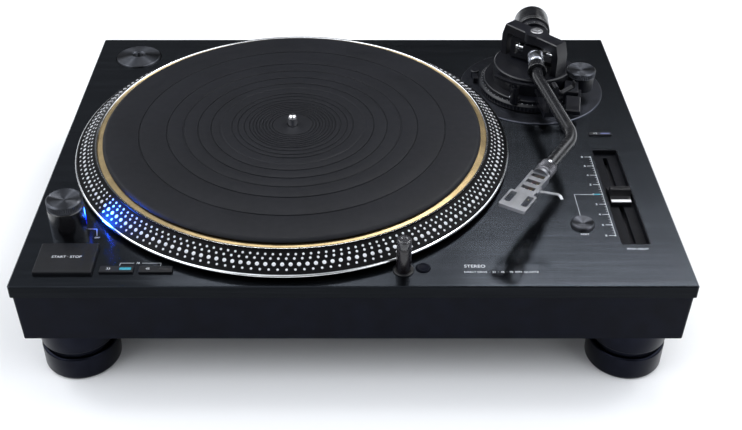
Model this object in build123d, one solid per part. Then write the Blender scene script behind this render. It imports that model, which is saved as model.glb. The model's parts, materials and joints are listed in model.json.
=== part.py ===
"""A direct-drive record player: plinth, motor, platter, controls, S-shaped tonearm and feet.

Millimetres. The origin is on the floor under the middle of the deck, +X to the right, +Y to
the back and +Z up. Each function makes one piece and save() writes it as its own node.
"""
import os
from math import atan2, cos, degrees, radians, sin

from build123d import *

os.makedirs("parts", exist_ok=True)

# ---- driving dimensions -------------------------------------------------------------------
DECK_W, DECK_D, DECK_CORNER = 453.0, 345.7, 1.6
DECK_TOP, DECK_T = 90.0, 9.7
BODY_W, BODY_D, BODY_CORNER, INNER_CORNER = 450.6, 343.7, 2.8, 5.0
BODY_BOTTOM, BODY_TAPER_DEG, BODY_WALL, WEB_T = 42.0, 1.5, 6.0, 5.0
COVER_T = 4.0
DECK_BOTTOM = DECK_TOP - DECK_T
WEB_BOTTOM = DECK_BOTTOM - WEB_T

SHAFT_CLEAR = 0.05  # radial, for what turns or slides in a bore
GAP = 0.3  # between pieces that pass each other

FOOT_X, FOOT_Y, FOOT_R = 195.0, 142.0, 27.0
STUD_R, STUD_TOP = 5.0, 66.0

PLATTER_X, PLATTER_Y = -46.5, -3.5
PLATTER_R, PLATTER_BOTTOM, WEB_UNDER, PLATTER_DECK = 166.0, 92.6, 97.0, 103.0
BRASS_R, BRASS_TOP, MAT_R, MAT_TOP = 148.4, 105.8, 144.5, 109.0
SPINDLE_R, SPINDLE_TOP, SHAFT_R = 3.575, 117.6, 6.0
RELIEF_R = 3.2  # the spindle is thinner where the brass plate and the mat surround it
MOTOR_R, MOTOR_FLOOR = 82.0, 83.5

ARM_X, ARM_Y, ARM_HEADING = 150.0, 85.0, -101.0  # the arm's working line at rest
ARM_Z = 125.5
OFFSET_DEG = 21.0  # the headshell turns in from the working line by this much
WINDOW_HEADING = -138.0  # the way the open side of the yoke faces
YOKE_REAR, YOKE_FRONT = -4.5, 7.5
PILLAR_R, PILLAR_TOP, STEP_R, STEP_Z = 32.5, 115.0, 40.0, 98.0
TUBE_R, TUBE_BEND_1, TUBE_BEND_2, TUBE_RUN = 4.5, (46.0, 5.2), (128.0, 35.3), 53.5


# ---- helpers ------------------------------------------------------------------------------
def box(x0, x1, y0, y1, z0, z1):
    middle = ((x0 + x1) / 2, (y0 + y1) / 2, (z0 + z1) / 2)
    return Pos(*middle) * Box(x1 - x0, y1 - y0, z1 - z0)


def disc(r, z0, z1, x=0.0, y=0.0):
    return Pos(x, y, (z0 + z1) / 2) * Cylinder(r, z1 - z0)


def ring(outer, inner, z0, z1, x=0.0, y=0.0):
    return disc(outer, z0, z1, x, y) - disc(inner, z0 - 1, z1 + 1, x, y)


def slab(width, depth, corner, z0, z1, x=0.0, y=0.0):
    """A plate with rounded corners."""
    return extrude(Pos(x, y, z0) * RectangleRounded(width, depth, corner), z1 - z0)


def rod(r, x0, x1, y=0.0, z=0.0):
    """A round bar along X."""
    return Pos((x0 + x1) / 2, y, z) * Rot(0, 90, 0) * Cylinder(r, x1 - x0)


def bar(r, y0, y1, x=0.0, z=0.0):
    """A round bar along Y."""
    return Pos(x, (y0 + y1) / 2, z) * Rot(90, 0, 0) * Cylinder(r, y1 - y0)


def turned(profile, x=0.0, y=0.0):
    """A solid of revolution about the vertical through x, y, from (radius, height) points."""
    outline = Polyline(*[(r, 0, z) for r, z in profile], close=True)
    return Pos(x, y, 0) * revolve(make_face(outline), Axis.Z)


def top_edges(part, z):
    """The edges of part that lie in the plane at height z."""
    return part.edges().filter_by_position(Axis.Z, z - 0.001, z + 0.001)


def on_platter(part):
    return Pos(PLATTER_X, PLATTER_Y, 0) * part


def arm_frame(heading=ARM_HEADING):
    """X along the heading, Y to its left, seen from above, about the arm's vertical pivot."""
    return Location((ARM_X, ARM_Y, 0), (0, 0, heading))


def save(name, part):
    solids = part.solids()
    node = solids[0] if len(solids) == 1 else Compound(children=list(solids))
    node.label = name
    export_step(node, f"parts/{name}.step")


# ---- plinth -------------------------------------------------------------------------------
ADAPTER_X, ADAPTER_Y, ADAPTER_WELL_R, ADAPTER_WELL_Z = -190.0, 138.5, 19.9, 84.0
ADAPTER_R = 19.05
START_X, START_Y, START_W, START_D = -192.6, -146.1, 39.3, 31.3
SPEED_Y, SPEED_W, SPEED_D = -156.5, 22.6, 6.7
SPEED_X = {"speed_33_button": -157.3, "speed_45_button": -131.1}
TOWER_X, TOWER_Y, TOWER_R, TOWER_TOP = -197.6, -112.5, 12.5, 111.5
STROBE_HEADING = 12.0
LAMP_X, LAMP_Y, LAMP_R = 33.4, -156.0, 5.0
LAMP_BUTTON_X, LAMP_BUTTON_Y, LAMP_BUTTON_R = 46.6, -153.8, 4.9
RESET_X, RESET_Y, RESET_R = 161.2, -106.3, 8.2
FADER_X, FADER_Y, FADER_W, FADER_D = 194.3, -69.3, 20.2, 118.6
RANGE_X, RANGE_Y, RANGE_W, RANGE_D = 195.3, 11.4, 18.2, 4.4
DISH_R, DISH_TOP, SPIGOT_R, SLEEVE_R, STEM_R = 59.4, 91.2, 45.0, 33.6, 31.0
JACK_X, JACK_Z, JACK_R = (124.0, 142.0), 61.0, 4.15
POCKET_WALL_Y = 156.0
LOCK_X, LOCK_Y = 104.0, 103.0
GROUND_X, GROUND_Z = 106.0, 61.0
INLET_X, INLET_Z, INLET_W, INLET_H = -150.0, 60.0, 27.4, 19.4


def wells(button_gap):
    """What is cut down through the deck plate for the controls."""
    cuts = slab(START_W + 2 * button_gap, START_D + 2 * button_gap, 1.2, 70, 95, START_X, START_Y)
    for x in SPEED_X.values():
        cuts += slab(SPEED_W + 2 * button_gap, SPEED_D + 2 * button_gap, 1, 70, 95, x, SPEED_Y)
    cuts += slab(RANGE_W + 2 * button_gap, RANGE_D + 2 * button_gap, 1, 70, 95, RANGE_X, RANGE_Y)
    cuts += slab(FADER_W, FADER_D, 1.5, 70, 95, FADER_X, FADER_Y)
    cuts += disc(6.2, 60, 95, LAMP_X, LAMP_Y)
    cuts += disc(LAMP_BUTTON_R + button_gap, 70, 95, LAMP_BUTTON_X, LAMP_BUTTON_Y)
    cuts += disc(RESET_R + button_gap, 70, 95, RESET_X, RESET_Y)
    return cuts


def top_plate():
    plate = slab(DECK_W, DECK_D, DECK_CORNER, DECK_BOTTOM, DECK_TOP)
    plate = chamfer(top_edges(plate, DECK_TOP), 0.8)
    plate -= on_platter(disc(MOTOR_R, MOTOR_FLOOR, 95) + disc(21, 70, 95))
    plate -= disc(SPIGOT_R, 70, 95, ARM_X, ARM_Y)
    plate -= disc(ADAPTER_WELL_R, ADAPTER_WELL_Z, 95, ADAPTER_X, ADAPTER_Y)
    plate -= disc(8, 70, 95, TOWER_X, TOWER_Y)
    plate -= disc(2 + SHAFT_CLEAR, 86, 95, LOCK_X, LOCK_Y)
    return plate - wells(GAP)


def foot_places():
    for end, y in (("front", -FOOT_Y), ("rear", FOOT_Y)):
        for side, x in (("left", -FOOT_X), ("right", FOOT_X)):
            yield f"foot_{end}_{side}", x, y


COVER_SCREWS = [(x, y) for x in (-212.0, -70.0, 70.0, 212.0) for y in (-105.0, 105.0)]
STEMS = {
    "start_stop_button": (-178.0, -146.0),
    "speed_33_button": (-157.3, -156.5),
    "speed_45_button": (-131.1, -156.5),
    "lamp_button": (LAMP_BUTTON_X, LAMP_BUTTON_Y),
    "reset_button": (RESET_X, RESET_Y),
    "range_button": (RANGE_X, RANGE_Y),
}
STEM_HOLE_R, KEY_STEM_R = 3.0, 2.4


def chassis():
    outline = Pos(0, 0, DECK_BOTTOM) * RectangleRounded(BODY_W, BODY_D, BODY_CORNER)
    body = extrude(outline, BODY_BOTTOM - DECK_BOTTOM, taper=BODY_TAPER_DEG)
    inner_w, inner_d = BODY_W - 2 * BODY_WALL, BODY_D - 2 * BODY_WALL
    body -= slab(inner_w, inner_d, INNER_CORNER, BODY_BOTTOM - 5, WEB_BOTTOM)
    floor = BODY_BOTTOM + COVER_T
    body += box(97, 163, POCKET_WALL_Y - 4, 168, floor, WEB_BOTTOM)
    body -= box(100, 160, POCKET_WALL_Y, 180, 50, 72)
    body -= box(INLET_X - 13.7, INLET_X + 13.7, 150, 180, INLET_Z - 9.7, INLET_Z + 9.7)
    for rib_x in (-120.0, 88.0):
        body += box(rib_x - 1.5, rib_x + 1.5, 60, 165, 60, WEB_BOTTOM)
    for _, x, y in foot_places():
        body += disc(12, floor, WEB_BOTTOM, x, y)
        body -= disc(STUD_R + SHAFT_CLEAR, floor - 1, STUD_TOP + 8, x, y)
    for x, y in COVER_SCREWS:
        body += disc(5, floor, WEB_BOTTOM, x, y)
        body -= disc(1.6, floor - 1, 60, x, y)
    body -= on_platter(disc(12, 70, 85)) + disc(36, 70, 85, ARM_X, ARM_Y)
    body -= disc(6.2, 60, 95, LAMP_X, LAMP_Y) + disc(8, 70, 85, TOWER_X, TOWER_Y)
    body -= box(187, 202, -126, -12, 70, 85)
    for x, y in STEMS.values():
        body -= disc(STEM_HOLE_R, 70, 85, x, y)
    for x in JACK_X:
        body -= bar(3, 140, 160, x, JACK_Z)
    return body - bar(2 + SHAFT_CLEAR, 140, 160, GROUND_X, GROUND_Z)


def base_cover():
    inner_w, inner_d = BODY_W - 2 * BODY_WALL, BODY_D - 2 * BODY_WALL
    cover = slab(inner_w - 0.2, inner_d - 0.2, INNER_CORNER, BODY_BOTTOM, BODY_BOTTOM + COVER_T)
    for _, x, y in foot_places():
        cover -= disc(STUD_R + 0.6, 30, 50, x, y)
    for x, y in COVER_SCREWS:
        cover -= disc(3.2, BODY_BOTTOM - 1, BODY_BOTTOM + 2, x, y) + disc(1.6, 40, 50, x, y)
    for row in range(7):
        cover -= slab(40, 3, 1.4, 40, 50, -150, -18 + 6 * row)
    return cover


def base_screws():
    screws = []
    for x, y in COVER_SCREWS:
        screw = disc(3.2, BODY_BOTTOM, BODY_BOTTOM + 2, x, y)
        screw += disc(1.6, BODY_BOTTOM + 2, 58, x, y)
        screws.append(screw - disc(1.2, BODY_BOTTOM - 1, BODY_BOTTOM + 1, x, y))
    return Compound(children=screws)


def stator():
    """The motor's board and its nine flat coils, in the pan under the platter."""
    pieces = [ring(78, 20, MOTOR_FLOOR, 85.1)]
    coil = ring(15.5, 6, 85.1, 88.1, 54)
    pieces += [Rot(0, 0, 40 * n) * coil for n in range(9)]
    return on_platter(Compound(children=pieces))


def bearing_housing():
    housing = disc(12, 50, 90.5) + disc(30, WEB_BOTTOM - 4, WEB_BOTTOM)
    housing -= disc(SHAFT_R + SHAFT_CLEAR, 52, 95)
    return on_platter(housing)


def circuit_boards():
    """Control, lamp, pitch and power boards with their key switches and main components."""
    control = box(-216, -112, -164, -128, 60, 61.6) - disc(12.5, 50, 70, -FOOT_X, -FOOT_Y)
    pieces = [control, box(41, 62, -164, -144, 60, 61.6)]
    pitch = box(150, 205, -130, 22, 66, 67.6)
    pieces += [pitch, box(188, 201, -124, -15, 67.6, 79)]
    power = box(-210, -126, 40, 120, 50, 51.6) - disc(5.5, 40, 60, -212, 105)
    pieces += [power, box(-200, -165, 60, 95, 51.6, 72)]
    pieces += [disc(9, 51.6, 71, -145, y) for y in (60, 82, 104)]
    for name, (x, y) in STEMS.items():
        board_top = 67.6 if name in ("reset_button", "range_button") else 61.6
        pieces.append(box(x - 3, x + 3, y - 3, y + 3, board_top, board_top + 4))
    return Compound(children=pieces)


def ac_inlet():
    w, h = INLET_W / 2, INLET_H / 2
    body = box(INLET_X - w, INLET_X + w, 150, 171.2, INLET_Z - h, INLET_Z + h)
    body -= box(INLET_X - 12, INLET_X + 12, 154, 175, INLET_Z - 8, INLET_Z + 8)
    pins = []
    for x, z in ((-7.0, -2.0), (7.0, -2.0), (0.0, 2.0)):
        mid_x, mid_z = INLET_X + x, INLET_Z + z
        pins.append(box(mid_x - 1, mid_x + 1, 154, 166, mid_z - 2, mid_z + 2))
    return Compound(children=[body] + pins)


def phono_jacks():
    jacks = []
    for x in JACK_X:
        jack = bar(6, POCKET_WALL_Y, POCKET_WALL_Y + 1.5, x, JACK_Z)
        jack += bar(JACK_R, POCKET_WALL_Y + 1.5, POCKET_WALL_Y + 10.5, x, JACK_Z)
        jack += bar(3, 148, POCKET_WALL_Y, x, JACK_Z)
        jacks.append(jack - bar(1.7, POCKET_WALL_Y + 2, 170, x, JACK_Z))
    return Compound(children=jacks)


def ground_nut():
    y = POCKET_WALL_Y + GAP
    nut = bar(5, y, y + 6, GROUND_X, GROUND_Z) + bar(2, 149, y, GROUND_X, GROUND_Z)
    for n in range(16):
        groove = Pos(GROUND_X, y + 3, GROUND_Z) * Rot(0, 22.5 * n, 0) * Pos(5.3, 0, 0)
        nut -= groove * Rot(90, 0, 0) * Cylinder(0.6, 8)
    return nut


def strobe_direction():
    """The way the lamp's window faces, across the deck to the platter's rim."""
    return Location((TOWER_X, TOWER_Y, 0), (0, 0, STROBE_HEADING))


def strobe_opening():
    return strobe_direction() * box(8.5, 14, -2.6, 2.6, 94.5, 109)


def strobe_tower():
    tower = disc(TOWER_R, DECK_TOP, TOWER_TOP, TOWER_X, TOWER_Y)
    tower = chamfer(top_edges(tower, TOWER_TOP), 0.6)
    tower += disc(8, DECK_BOTTOM - 3, DECK_TOP, TOWER_X, TOWER_Y)
    tower -= disc(4 + SHAFT_CLEAR, 103, 113, TOWER_X, TOWER_Y)
    return tower - strobe_opening()


def strobe_lens():
    return strobe_opening() & disc(TOWER_R - 0.2, 90, 110, TOWER_X, TOWER_Y)


def power_dial():
    low, high = TOWER_TOP + GAP, 117.8
    profile = [(0, low), (TOWER_R, low), (TOWER_R, high - 0.8), (TOWER_R - 0.8, high)]
    profile += [(TOWER_R - 1.8, high), (2, high - 1.4), (0, high - 1.4)]
    dial = turned(profile, TOWER_X, TOWER_Y)
    for n in range(48):
        notch = Location((TOWER_X, TOWER_Y, low + 2.6), (0, 0, 7.5 * n)) * Pos(TOWER_R + 0.25, 0, 0)
        dial -= notch * Cylinder(0.55, 3.6)
    return dial + disc(4, 104, low, TOWER_X, TOWER_Y)


def key(name, cap):
    """A push key: its cap and the stem that reaches down to its switch."""
    x, y = STEMS[name]
    foot = 73.4 if name in ("reset_button", "range_button") else 67.4
    return cap + disc(KEY_STEM_R, foot, 83, x, y)


def start_stop_button():
    cap = slab(START_W, START_D, 1.0, 82, 93.2, START_X, START_Y)
    return key("start_stop_button", chamfer(top_edges(cap, 93.2), 0.7))


def speed_button(name):
    cap = slab(SPEED_W, SPEED_D, 0.8, 82, 91.8, SPEED_X[name], SPEED_Y)
    return key(name, chamfer(top_edges(cap, 91.8), 0.4))


def range_button():
    cap = slab(RANGE_W, RANGE_D, 0.8, 82, 91.2, RANGE_X, RANGE_Y)
    return key("range_button", chamfer(top_edges(cap, 91.2), 0.3))


def reset_button():
    profile = [(0, 82), (RESET_R, 82), (RESET_R, 92.2), (RESET_R - 0.6, 92.8)]
    profile += [(RESET_R - 1.4, 92.8), (1.2, 91.6), (0, 91.6)]
    return key("reset_button", turned(profile, RESET_X, RESET_Y))


def lamp_button():
    cap = disc(LAMP_BUTTON_R, 82, 91, LAMP_BUTTON_X, LAMP_BUTTON_Y)
    return key("lamp_button", chamfer(top_edges(cap, 91), 0.5))


def lamp_guide():
    guide = disc(6.2, 66, DECK_TOP, LAMP_X, LAMP_Y) + disc(7.2, DECK_TOP, 91.2, LAMP_X, LAMP_Y)
    guide = chamfer(top_edges(guide, 91.2), 0.5)
    return guide - disc(LAMP_R + SHAFT_CLEAR, 60, 95, LAMP_X, LAMP_Y)


def target_lamp():
    body = disc(LAMP_R, 76, 110.5, LAMP_X, LAMP_Y)
    return body - disc(3.6, 104, 111, LAMP_X, LAMP_Y)


def lamp_cap():
    cap = disc(3.6, 104, 110.5, LAMP_X, LAMP_Y) + disc(LAMP_R, 110.5, 116.5, LAMP_X, LAMP_Y)
    return fillet(top_edges(cap, 116.5), 1.0)


def fader_bezel():
    tray = slab(FADER_W, FADER_D, 1.5, 82.5, DECK_TOP, FADER_X, FADER_Y)
    tray -= slab(FADER_W - 2, FADER_D - 2, 1.0, 86, 95, FADER_X, FADER_Y)
    return tray - slab(3.4, FADER_D - 12, 1.2, 80, 90, FADER_X, FADER_Y)


def pitch_slider():
    """The fader's cap, a ridge between two low lips, on its blade."""
    low, high, lip = 86.5, 96.0, 89.6
    ridge = [(3.4, lip + 1), (2.6, high - 0.6), (1.8, high)]
    rear = [(9.6, low), (9.6, lip - 0.6), (9.0, lip), (5.6, lip)] + ridge
    front = [(-y, z) for y, z in reversed(rear)]
    side = make_face(Polyline(*[(0, y, z) for y, z in rear + front], close=True))
    cap = Pos(FADER_X, FADER_Y, 0) * extrude(side, 7.4, both=True)
    blade = box(FADER_X - 0.8, FADER_X + 0.8, FADER_Y - 3, FADER_Y + 3, 79.4, low)
    return cap + blade


def single_adapter():
    """The centre piece for large-hole records, resting in its well."""
    low = ADAPTER_WELL_Z + 0.1
    profile = [(3.7, low), (ADAPTER_R, low), (ADAPTER_R, 91.0), (ADAPTER_R - 0.6, 91.6)]
    profile += [(ADAPTER_R - 1.6, 91.6), (6.2, 93.4), (5.6, 92.6), (3.7, 92.6)]
    return turned(profile, ADAPTER_X, ADAPTER_Y)


# ---- platter ------------------------------------------------------------------------------
BRASS_SCREWS_AT, BRASS_SCREW_HEAD_R = 100.0, 4.0


def screw_places():
    for n in range(3):
        angle = radians(120 * n + 30)
        yield BRASS_SCREWS_AT * cos(angle), BRASS_SCREWS_AT * sin(angle)


def platter():
    profile = [(9, WEB_UNDER), (142, WEB_UNDER), (142, PLATTER_BOTTOM), (165, PLATTER_BOTTOM)]
    profile += [(PLATTER_R, 93.6), (PLATTER_R, 95.6), (165.6, 96), (163.6, 97.2), (163.2, 97.0)]
    profile += [(150.9, 105.0), (150.6, 105.6), (150.2, 106.3), (148.9, 106.4), (148.4, 105.9)]
    profile += [(148.4, PLATTER_DECK), (9, PLATTER_DECK)]
    body = turned(profile)
    for x, y in screw_places():
        body -= disc(2, 90, 105, x, y)
    return on_platter(body)


def brass_plate():
    plate = disc(BRASS_R, PLATTER_DECK, BRASS_TOP)
    plate = chamfer(top_edges(plate, BRASS_TOP), 0.3)
    plate -= disc(3.7, 100, 110)
    for x, y in screw_places():
        plate -= disc(2, 100, 110, x, y) + disc(BRASS_SCREW_HEAD_R, 103.8, 110, x, y)
    return on_platter(plate)


def platter_screws():
    screws = []
    for x, y in screw_places():
        screw = disc(2, 98, 103.8, x, y) + disc(BRASS_SCREW_HEAD_R, 103.8, BRASS_TOP, x, y)
        screws.append(screw - disc(1.2, 104.8, 106, x, y))
    return on_platter(Compound(children=screws))


def damping_rubber():
    return on_platter(ring(141, 82, WEB_UNDER - 2, WEB_UNDER))


MAT_GROOVES = (117, 96, 83.5, 72.5, 62.5, 46.5, 42, 37, 33, 30.5, 28, 25.5, 23, 20.5)


def platter_mat():
    mat = ring(MAT_R, 3.7, BRASS_TOP, MAT_TOP)
    mat = chamfer(top_edges(mat, MAT_TOP).filter_by(lambda edge: edge.radius > 10), 0.5)
    for r in MAT_GROOVES:
        mat -= ring(r + 0.4, r - 0.4, MAT_TOP - 0.7, MAT_TOP + 1)
    return on_platter(mat)


def rotor_yoke():
    return on_platter(ring(76, 20, 94.5, WEB_UNDER))


def rotor_magnets():
    """Sixteen flat magnets in a circle, a coil's height above the stator."""
    block = ring(72, 38, 89.2, 94.5) & box(36, 80, -30, 30, 80, 100)
    half_gap = 10.7
    for side in (-1, 1):
        block -= Rot(0, 0, side * half_gap) * box(30, 90, *sorted((0, side * 60)), 80, 100)
    return on_platter(Compound(children=[Rot(0, 0, 22.5 * n) * block for n in range(16)]))


def spindle():
    profile = [(0, 52.3), (SHAFT_R, 52.3), (SHAFT_R, WEB_UNDER), (9, WEB_UNDER)]
    profile += [(9, PLATTER_DECK), (RELIEF_R, PLATTER_DECK), (RELIEF_R, MAT_TOP)]
    profile += [(SPINDLE_R, MAT_TOP), (SPINDLE_R, 115.2)]
    profile += [(2.9, 116.6), (1.8, 117.3), (0.8, SPINDLE_TOP), (0, SPINDLE_TOP)]
    return on_platter(turned(profile))


# ---- feet ---------------------------------------------------------------------------------
def foot(x, y):
    """A screwed-in foot: its stud and housing, and the rubber-mounted ring that it stands on."""
    top = BODY_BOTTOM - GAP
    profile = [(0, 24.5), (FOOT_R, 24.5), (FOOT_R, top), (STUD_R, top), (STUD_R, STUD_TOP)]
    housing = turned(profile + [(0, STUD_TOP)], x, y)
    ring_profile = [(0, 0), (FOOT_R - 1, 0), (FOOT_R, 1), (FOOT_R, 18.9), (FOOT_R - 0.7, 19.6)]
    ring_profile += [(24, 19.6), (24, 24.5), (0, 24.5)]
    return Compound(children=[housing, turned(ring_profile, x, y)])


# ---- arm base -----------------------------------------------------------------------------
LOWER = {"stem_bottom": 80.0, "sleeve_top": 97.0, "ring_low": 91.6, "ring_high": 97.6}
DIAL_U, DIAL_W, DIAL_R = 4.5, 39.6, 11.8
REST_U, REST_W, REST_TURN = 57.0, 10.3, 19.4  # where the tube lies in its rest, and its heading
CUE_R, CUE_ANGLE, CUE_POST_R, CUE_ROD_R = 43.0, -16.0, 3.3, 1.5
LEVER_U, LEVER_Z, LEVER_PIN_R = 30.0, 105.5, 1.5
CLIP_Y, CLIP_Z, CLIP_PIN_R, CLIP_OPEN_DEG = 9.2, 123.5, 1.15, 150.0


def arm_dish():
    dish = disc(DISH_R, DECK_TOP, DISH_TOP, ARM_X, ARM_Y)
    dish = chamfer(top_edges(dish, DISH_TOP), 0.5)
    dish += disc(SPIGOT_R, DECK_BOTTOM, DECK_TOP, ARM_X, ARM_Y)
    dish += disc(SLEEVE_R, DISH_TOP, LOWER["sleeve_top"], ARM_X, ARM_Y)
    dish += disc(36, WEB_BOTTOM, DECK_BOTTOM, ARM_X, ARM_Y)
    dish -= disc(STEM_R + SHAFT_CLEAR, 70, 100, ARM_X, ARM_Y)
    return dish - disc(2 + SHAFT_CLEAR, 86, 95, LOCK_X, LOCK_Y)


def height_ring():
    """The knurled dial that raises and lowers the arm."""
    high = LOWER["ring_high"]
    dial = ring(43.5, SLEEVE_R + GAP, LOWER["ring_low"], high, ARM_X, ARM_Y)
    rim = top_edges(dial, high).filter_by(lambda edge: edge.radius > 40)
    dial = chamfer(rim, 1.6)
    for n in range(72):
        notch = Location((ARM_X, ARM_Y, 93.2), (0, 0, 5 * n)) * Pos(43.9, 0, 0)
        dial -= notch * Cylinder(0.8, 3.4)
    return dial


def lock_lever():
    """Pinches the height dial's thread."""
    lever = disc(3.6, DISH_TOP + GAP, 97.5, LOCK_X, LOCK_Y)
    lever += box(LOCK_X - 2, LOCK_X + 2, LOCK_Y - 12, LOCK_Y, DISH_TOP + GAP + 1, 96)
    lever = chamfer(top_edges(lever, 97.5), 0.6)
    return lever + disc(2, 86.5, 92, LOCK_X, LOCK_Y)


def arm_pillar():
    stem = ring(STEM_R, 24, LOWER["stem_bottom"], STEP_Z)
    step = chamfer(top_edges(disc(STEP_R, STEP_Z, 100.2), 100.2), 0.6)
    drum = chamfer(top_edges(disc(PILLAR_R, 100.2, PILLAR_TOP), PILLAR_TOP), 0.8)
    behind = Rot(0, 0, WINDOW_HEADING - ARM_HEADING) * box(-40, YOKE_REAR - 0.5, -40, 40, 103.5, 120)
    boss = disc(11.2, STEP_Z + 0.3, 109.8, DIAL_U, DIAL_W)
    pillar = stem + step + (drum - behind) + boss
    pillar -= disc(DIAL_R + GAP, 109.8, 120, DIAL_U, DIAL_W)
    pillar -= disc(3 + SHAFT_CLEAR, 103, 112, DIAL_U, DIAL_W)
    return arm_frame() * (pillar - disc(2 + SHAFT_CLEAR, 111, 120))


def yoke():
    """The fixed fork over the gimbal, with the upper pivot's lock nut as its own solid."""
    outline = [(-29.5, PILLAR_TOP), (-29.5, 132.5), (-26.5, 142.5), (26.5, 142.5), (29.5, 132.5)]
    outline += [(29.5, PILLAR_TOP), (24, PILLAR_TOP), (24, 135), (-24, 135), (-24, PILLAR_TOP)]
    side = make_face(Polyline(*[(YOKE_REAR, y, z) for y, z in outline], close=True))
    fork = extrude(side, YOKE_FRONT - YOKE_REAR, dir=(1, 0, 0))
    fork = chamfer(fork.edges().filter_by(Axis.Y).filter_by_position(Axis.Z, 142.4, 142.6), 0.7)
    fork += disc(9.5, 135, 142.5)
    fork -= disc(2 + SHAFT_CLEAR, 130, 139.5)
    nut = disc(5, 142.5, 143.7) + extrude(Pos(0, 0, 143.7) * RegularPolygon(3.4, 6), 1.3)
    return arm_frame(WINDOW_HEADING) * Compound(children=[fork, nut])


def cue_housing():
    """The lifter's damping cylinder on its lug, and the block that carries its lever."""
    post = disc(CUE_POST_R, 98.5, 113, CUE_R) + box(37, CUE_R, -3.3, 3.3, 98.5, 101.5)
    post = post - disc(STEP_R, 90, 100.2) - disc(CUE_ROD_R + SHAFT_CLEAR, 104, 120, CUE_R)
    block = box(16, 34, 27, 38.4, 98.3, 109.5) - disc(STEP_R, 90, 100.2)
    block = chamfer(top_edges(block, 109.5), 0.6)
    block -= disc(PILLAR_R, 90, 120) + disc(DIAL_R + GAP, 90, 120, DIAL_U, DIAL_W)
    block -= bar(LEVER_PIN_R + SHAFT_CLEAR, 33, 40, LEVER_U, LEVER_Z)
    return arm_frame() * Compound(children=[(Rot(0, 0, CUE_ANGLE) * post).solid(), block.solid()])


def rest_frame():
    """X along the tube where it lies in its rest, Y to its left seen from above."""
    return arm_frame() * Location((REST_U, REST_W, 0), (0, 0, REST_TURN))


def arm_rest():
    """The post beside the tube, with a shelf under the tube and ears for the clip's pin."""
    post = box(-4, 4, 5.4, 11.6, 98.3, 123.5) + rod(2.2, -4, 4, CLIP_Y, CLIP_Z)
    post += box(-4, 4, -5.4, 5.4, 117.5, 120.4) + box(-21, 4, 2.0, 10.4, 98.3, 102.5)
    post -= box(-2.7, 2.7, 5.3, 13, 115.5, 127)
    post -= rod(CLIP_PIN_R + SHAFT_CLEAR, -5, 5, CLIP_Y, CLIP_Z)
    clear = disc(STEP_R, 90, 100.2, ARM_X, ARM_Y) + disc(PILLAR_R, 90, 120, ARM_X, ARM_Y)
    return rest_frame() * post - clear


def arm_clip():
    """The clip that closes over the tube, swung open to the outside."""
    closed = [(10.2, 125), (7.4, 132.2), (-3.8, 132.2), (-6.6, 128.4), (-5.5, 127.8)]
    closed += [(-3.2, 131.0), (6.4, 131.0), (8.4, 125)]
    strap = make_face(Polyline(*[(0, y, z) for y, z in closed], close=True))
    clip = extrude(strap, 2.4, both=True) + rod(2.2, -2.4, 2.4, CLIP_Y, CLIP_Z)
    clip += rod(CLIP_PIN_R, -4, 4, CLIP_Y, CLIP_Z)
    pin = Pos(0, CLIP_Y, CLIP_Z)
    return rest_frame() * pin * Rot(-CLIP_OPEN_DEG, 0, 0) * pin.inverse() * clip


def antiskate_dial():
    low, high = 110.1, PILLAR_TOP
    profile = [(0, low), (DIAL_R, low), (DIAL_R, high - 0.8), (DIAL_R - 0.8, high)]
    profile += [(DIAL_R - 2, high), (2, high - 1.2), (0, high - 1.2)]
    dial = turned(profile, DIAL_U, DIAL_W)
    for n in range(36):
        notch = Location((DIAL_U, DIAL_W, low + 1.8), (0, 0, 10 * n)) * Pos(DIAL_R + 0.3, 0, 0)
        dial -= notch * Cylinder(0.6, 2.6)
    return arm_frame() * (dial + disc(3, 104, low, DIAL_U, DIAL_W))


def cue_lever():
    """A paddle in front of its block, hung on a pin through the block's side."""
    paddle = box(36.5, 60, 29, 40.8, 103.5, 107.4)
    paddle = chamfer(top_edges(paddle, 107.4), 0.8)
    cheek = box(LEVER_U - 4, 37, 38.8, 40.8, 103.5, 107.4)
    pin = bar(LEVER_PIN_R, 33.5, 38.8, LEVER_U, LEVER_Z)
    return arm_frame() * (paddle + cheek + pin)


def cue_platform():
    """The curved bar that lifts the tube wherever the arm stands, on its piston rod."""
    arc = ring(CUE_R + 1.5, CUE_R - 1.5, 115.4, 117.2)
    arc &= extrude(make_face(Polyline((0, 0, 110), *arc_ends(), close=True)), 12)
    return arm_frame() * (arc + Rot(0, 0, CUE_ANGLE) * disc(CUE_ROD_R, 105, 115.4, CUE_R))


def arc_ends():
    """The corners of a wedge, wide enough to hold the lifter's arc."""
    for angle in (-42, -14, 14):
        yield 60 * cos(radians(angle)), 60 * sin(radians(angle)), 110


# ---- arm ----------------------------------------------------------------------------------
SHELL_FRONT, SHELL_STEM, SHELL_W, STEM_W = 52.5, 33.0, 19.4, 13.6
SHELL_LOW, SHELL_HIGH = 125.6, 128.2


def gimbal_frame():
    """Y along the pitch axis, X forward, square to it."""
    return arm_frame(ARM_HEADING - OFFSET_DEG)


def tube_angle():
    """The heading of the tube's straight rear part, against the working line."""
    return degrees(atan2(TUBE_BEND_1[1], TUBE_BEND_1[0]))


def rear_frame():
    """X forward along the straight rear part of the arm."""
    return arm_frame(ARM_HEADING + tube_angle())


def shell_frame():
    """The headshell's own frame: X forward from the end of the tube."""
    x = TUBE_BEND_2[0] + TUBE_RUN * cos(radians(OFFSET_DEG))
    y = TUBE_BEND_2[1] - TUBE_RUN * sin(radians(OFFSET_DEG))
    return arm_frame() * Location((x, y, 0), (0, 0, -OFFSET_DEG))


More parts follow.
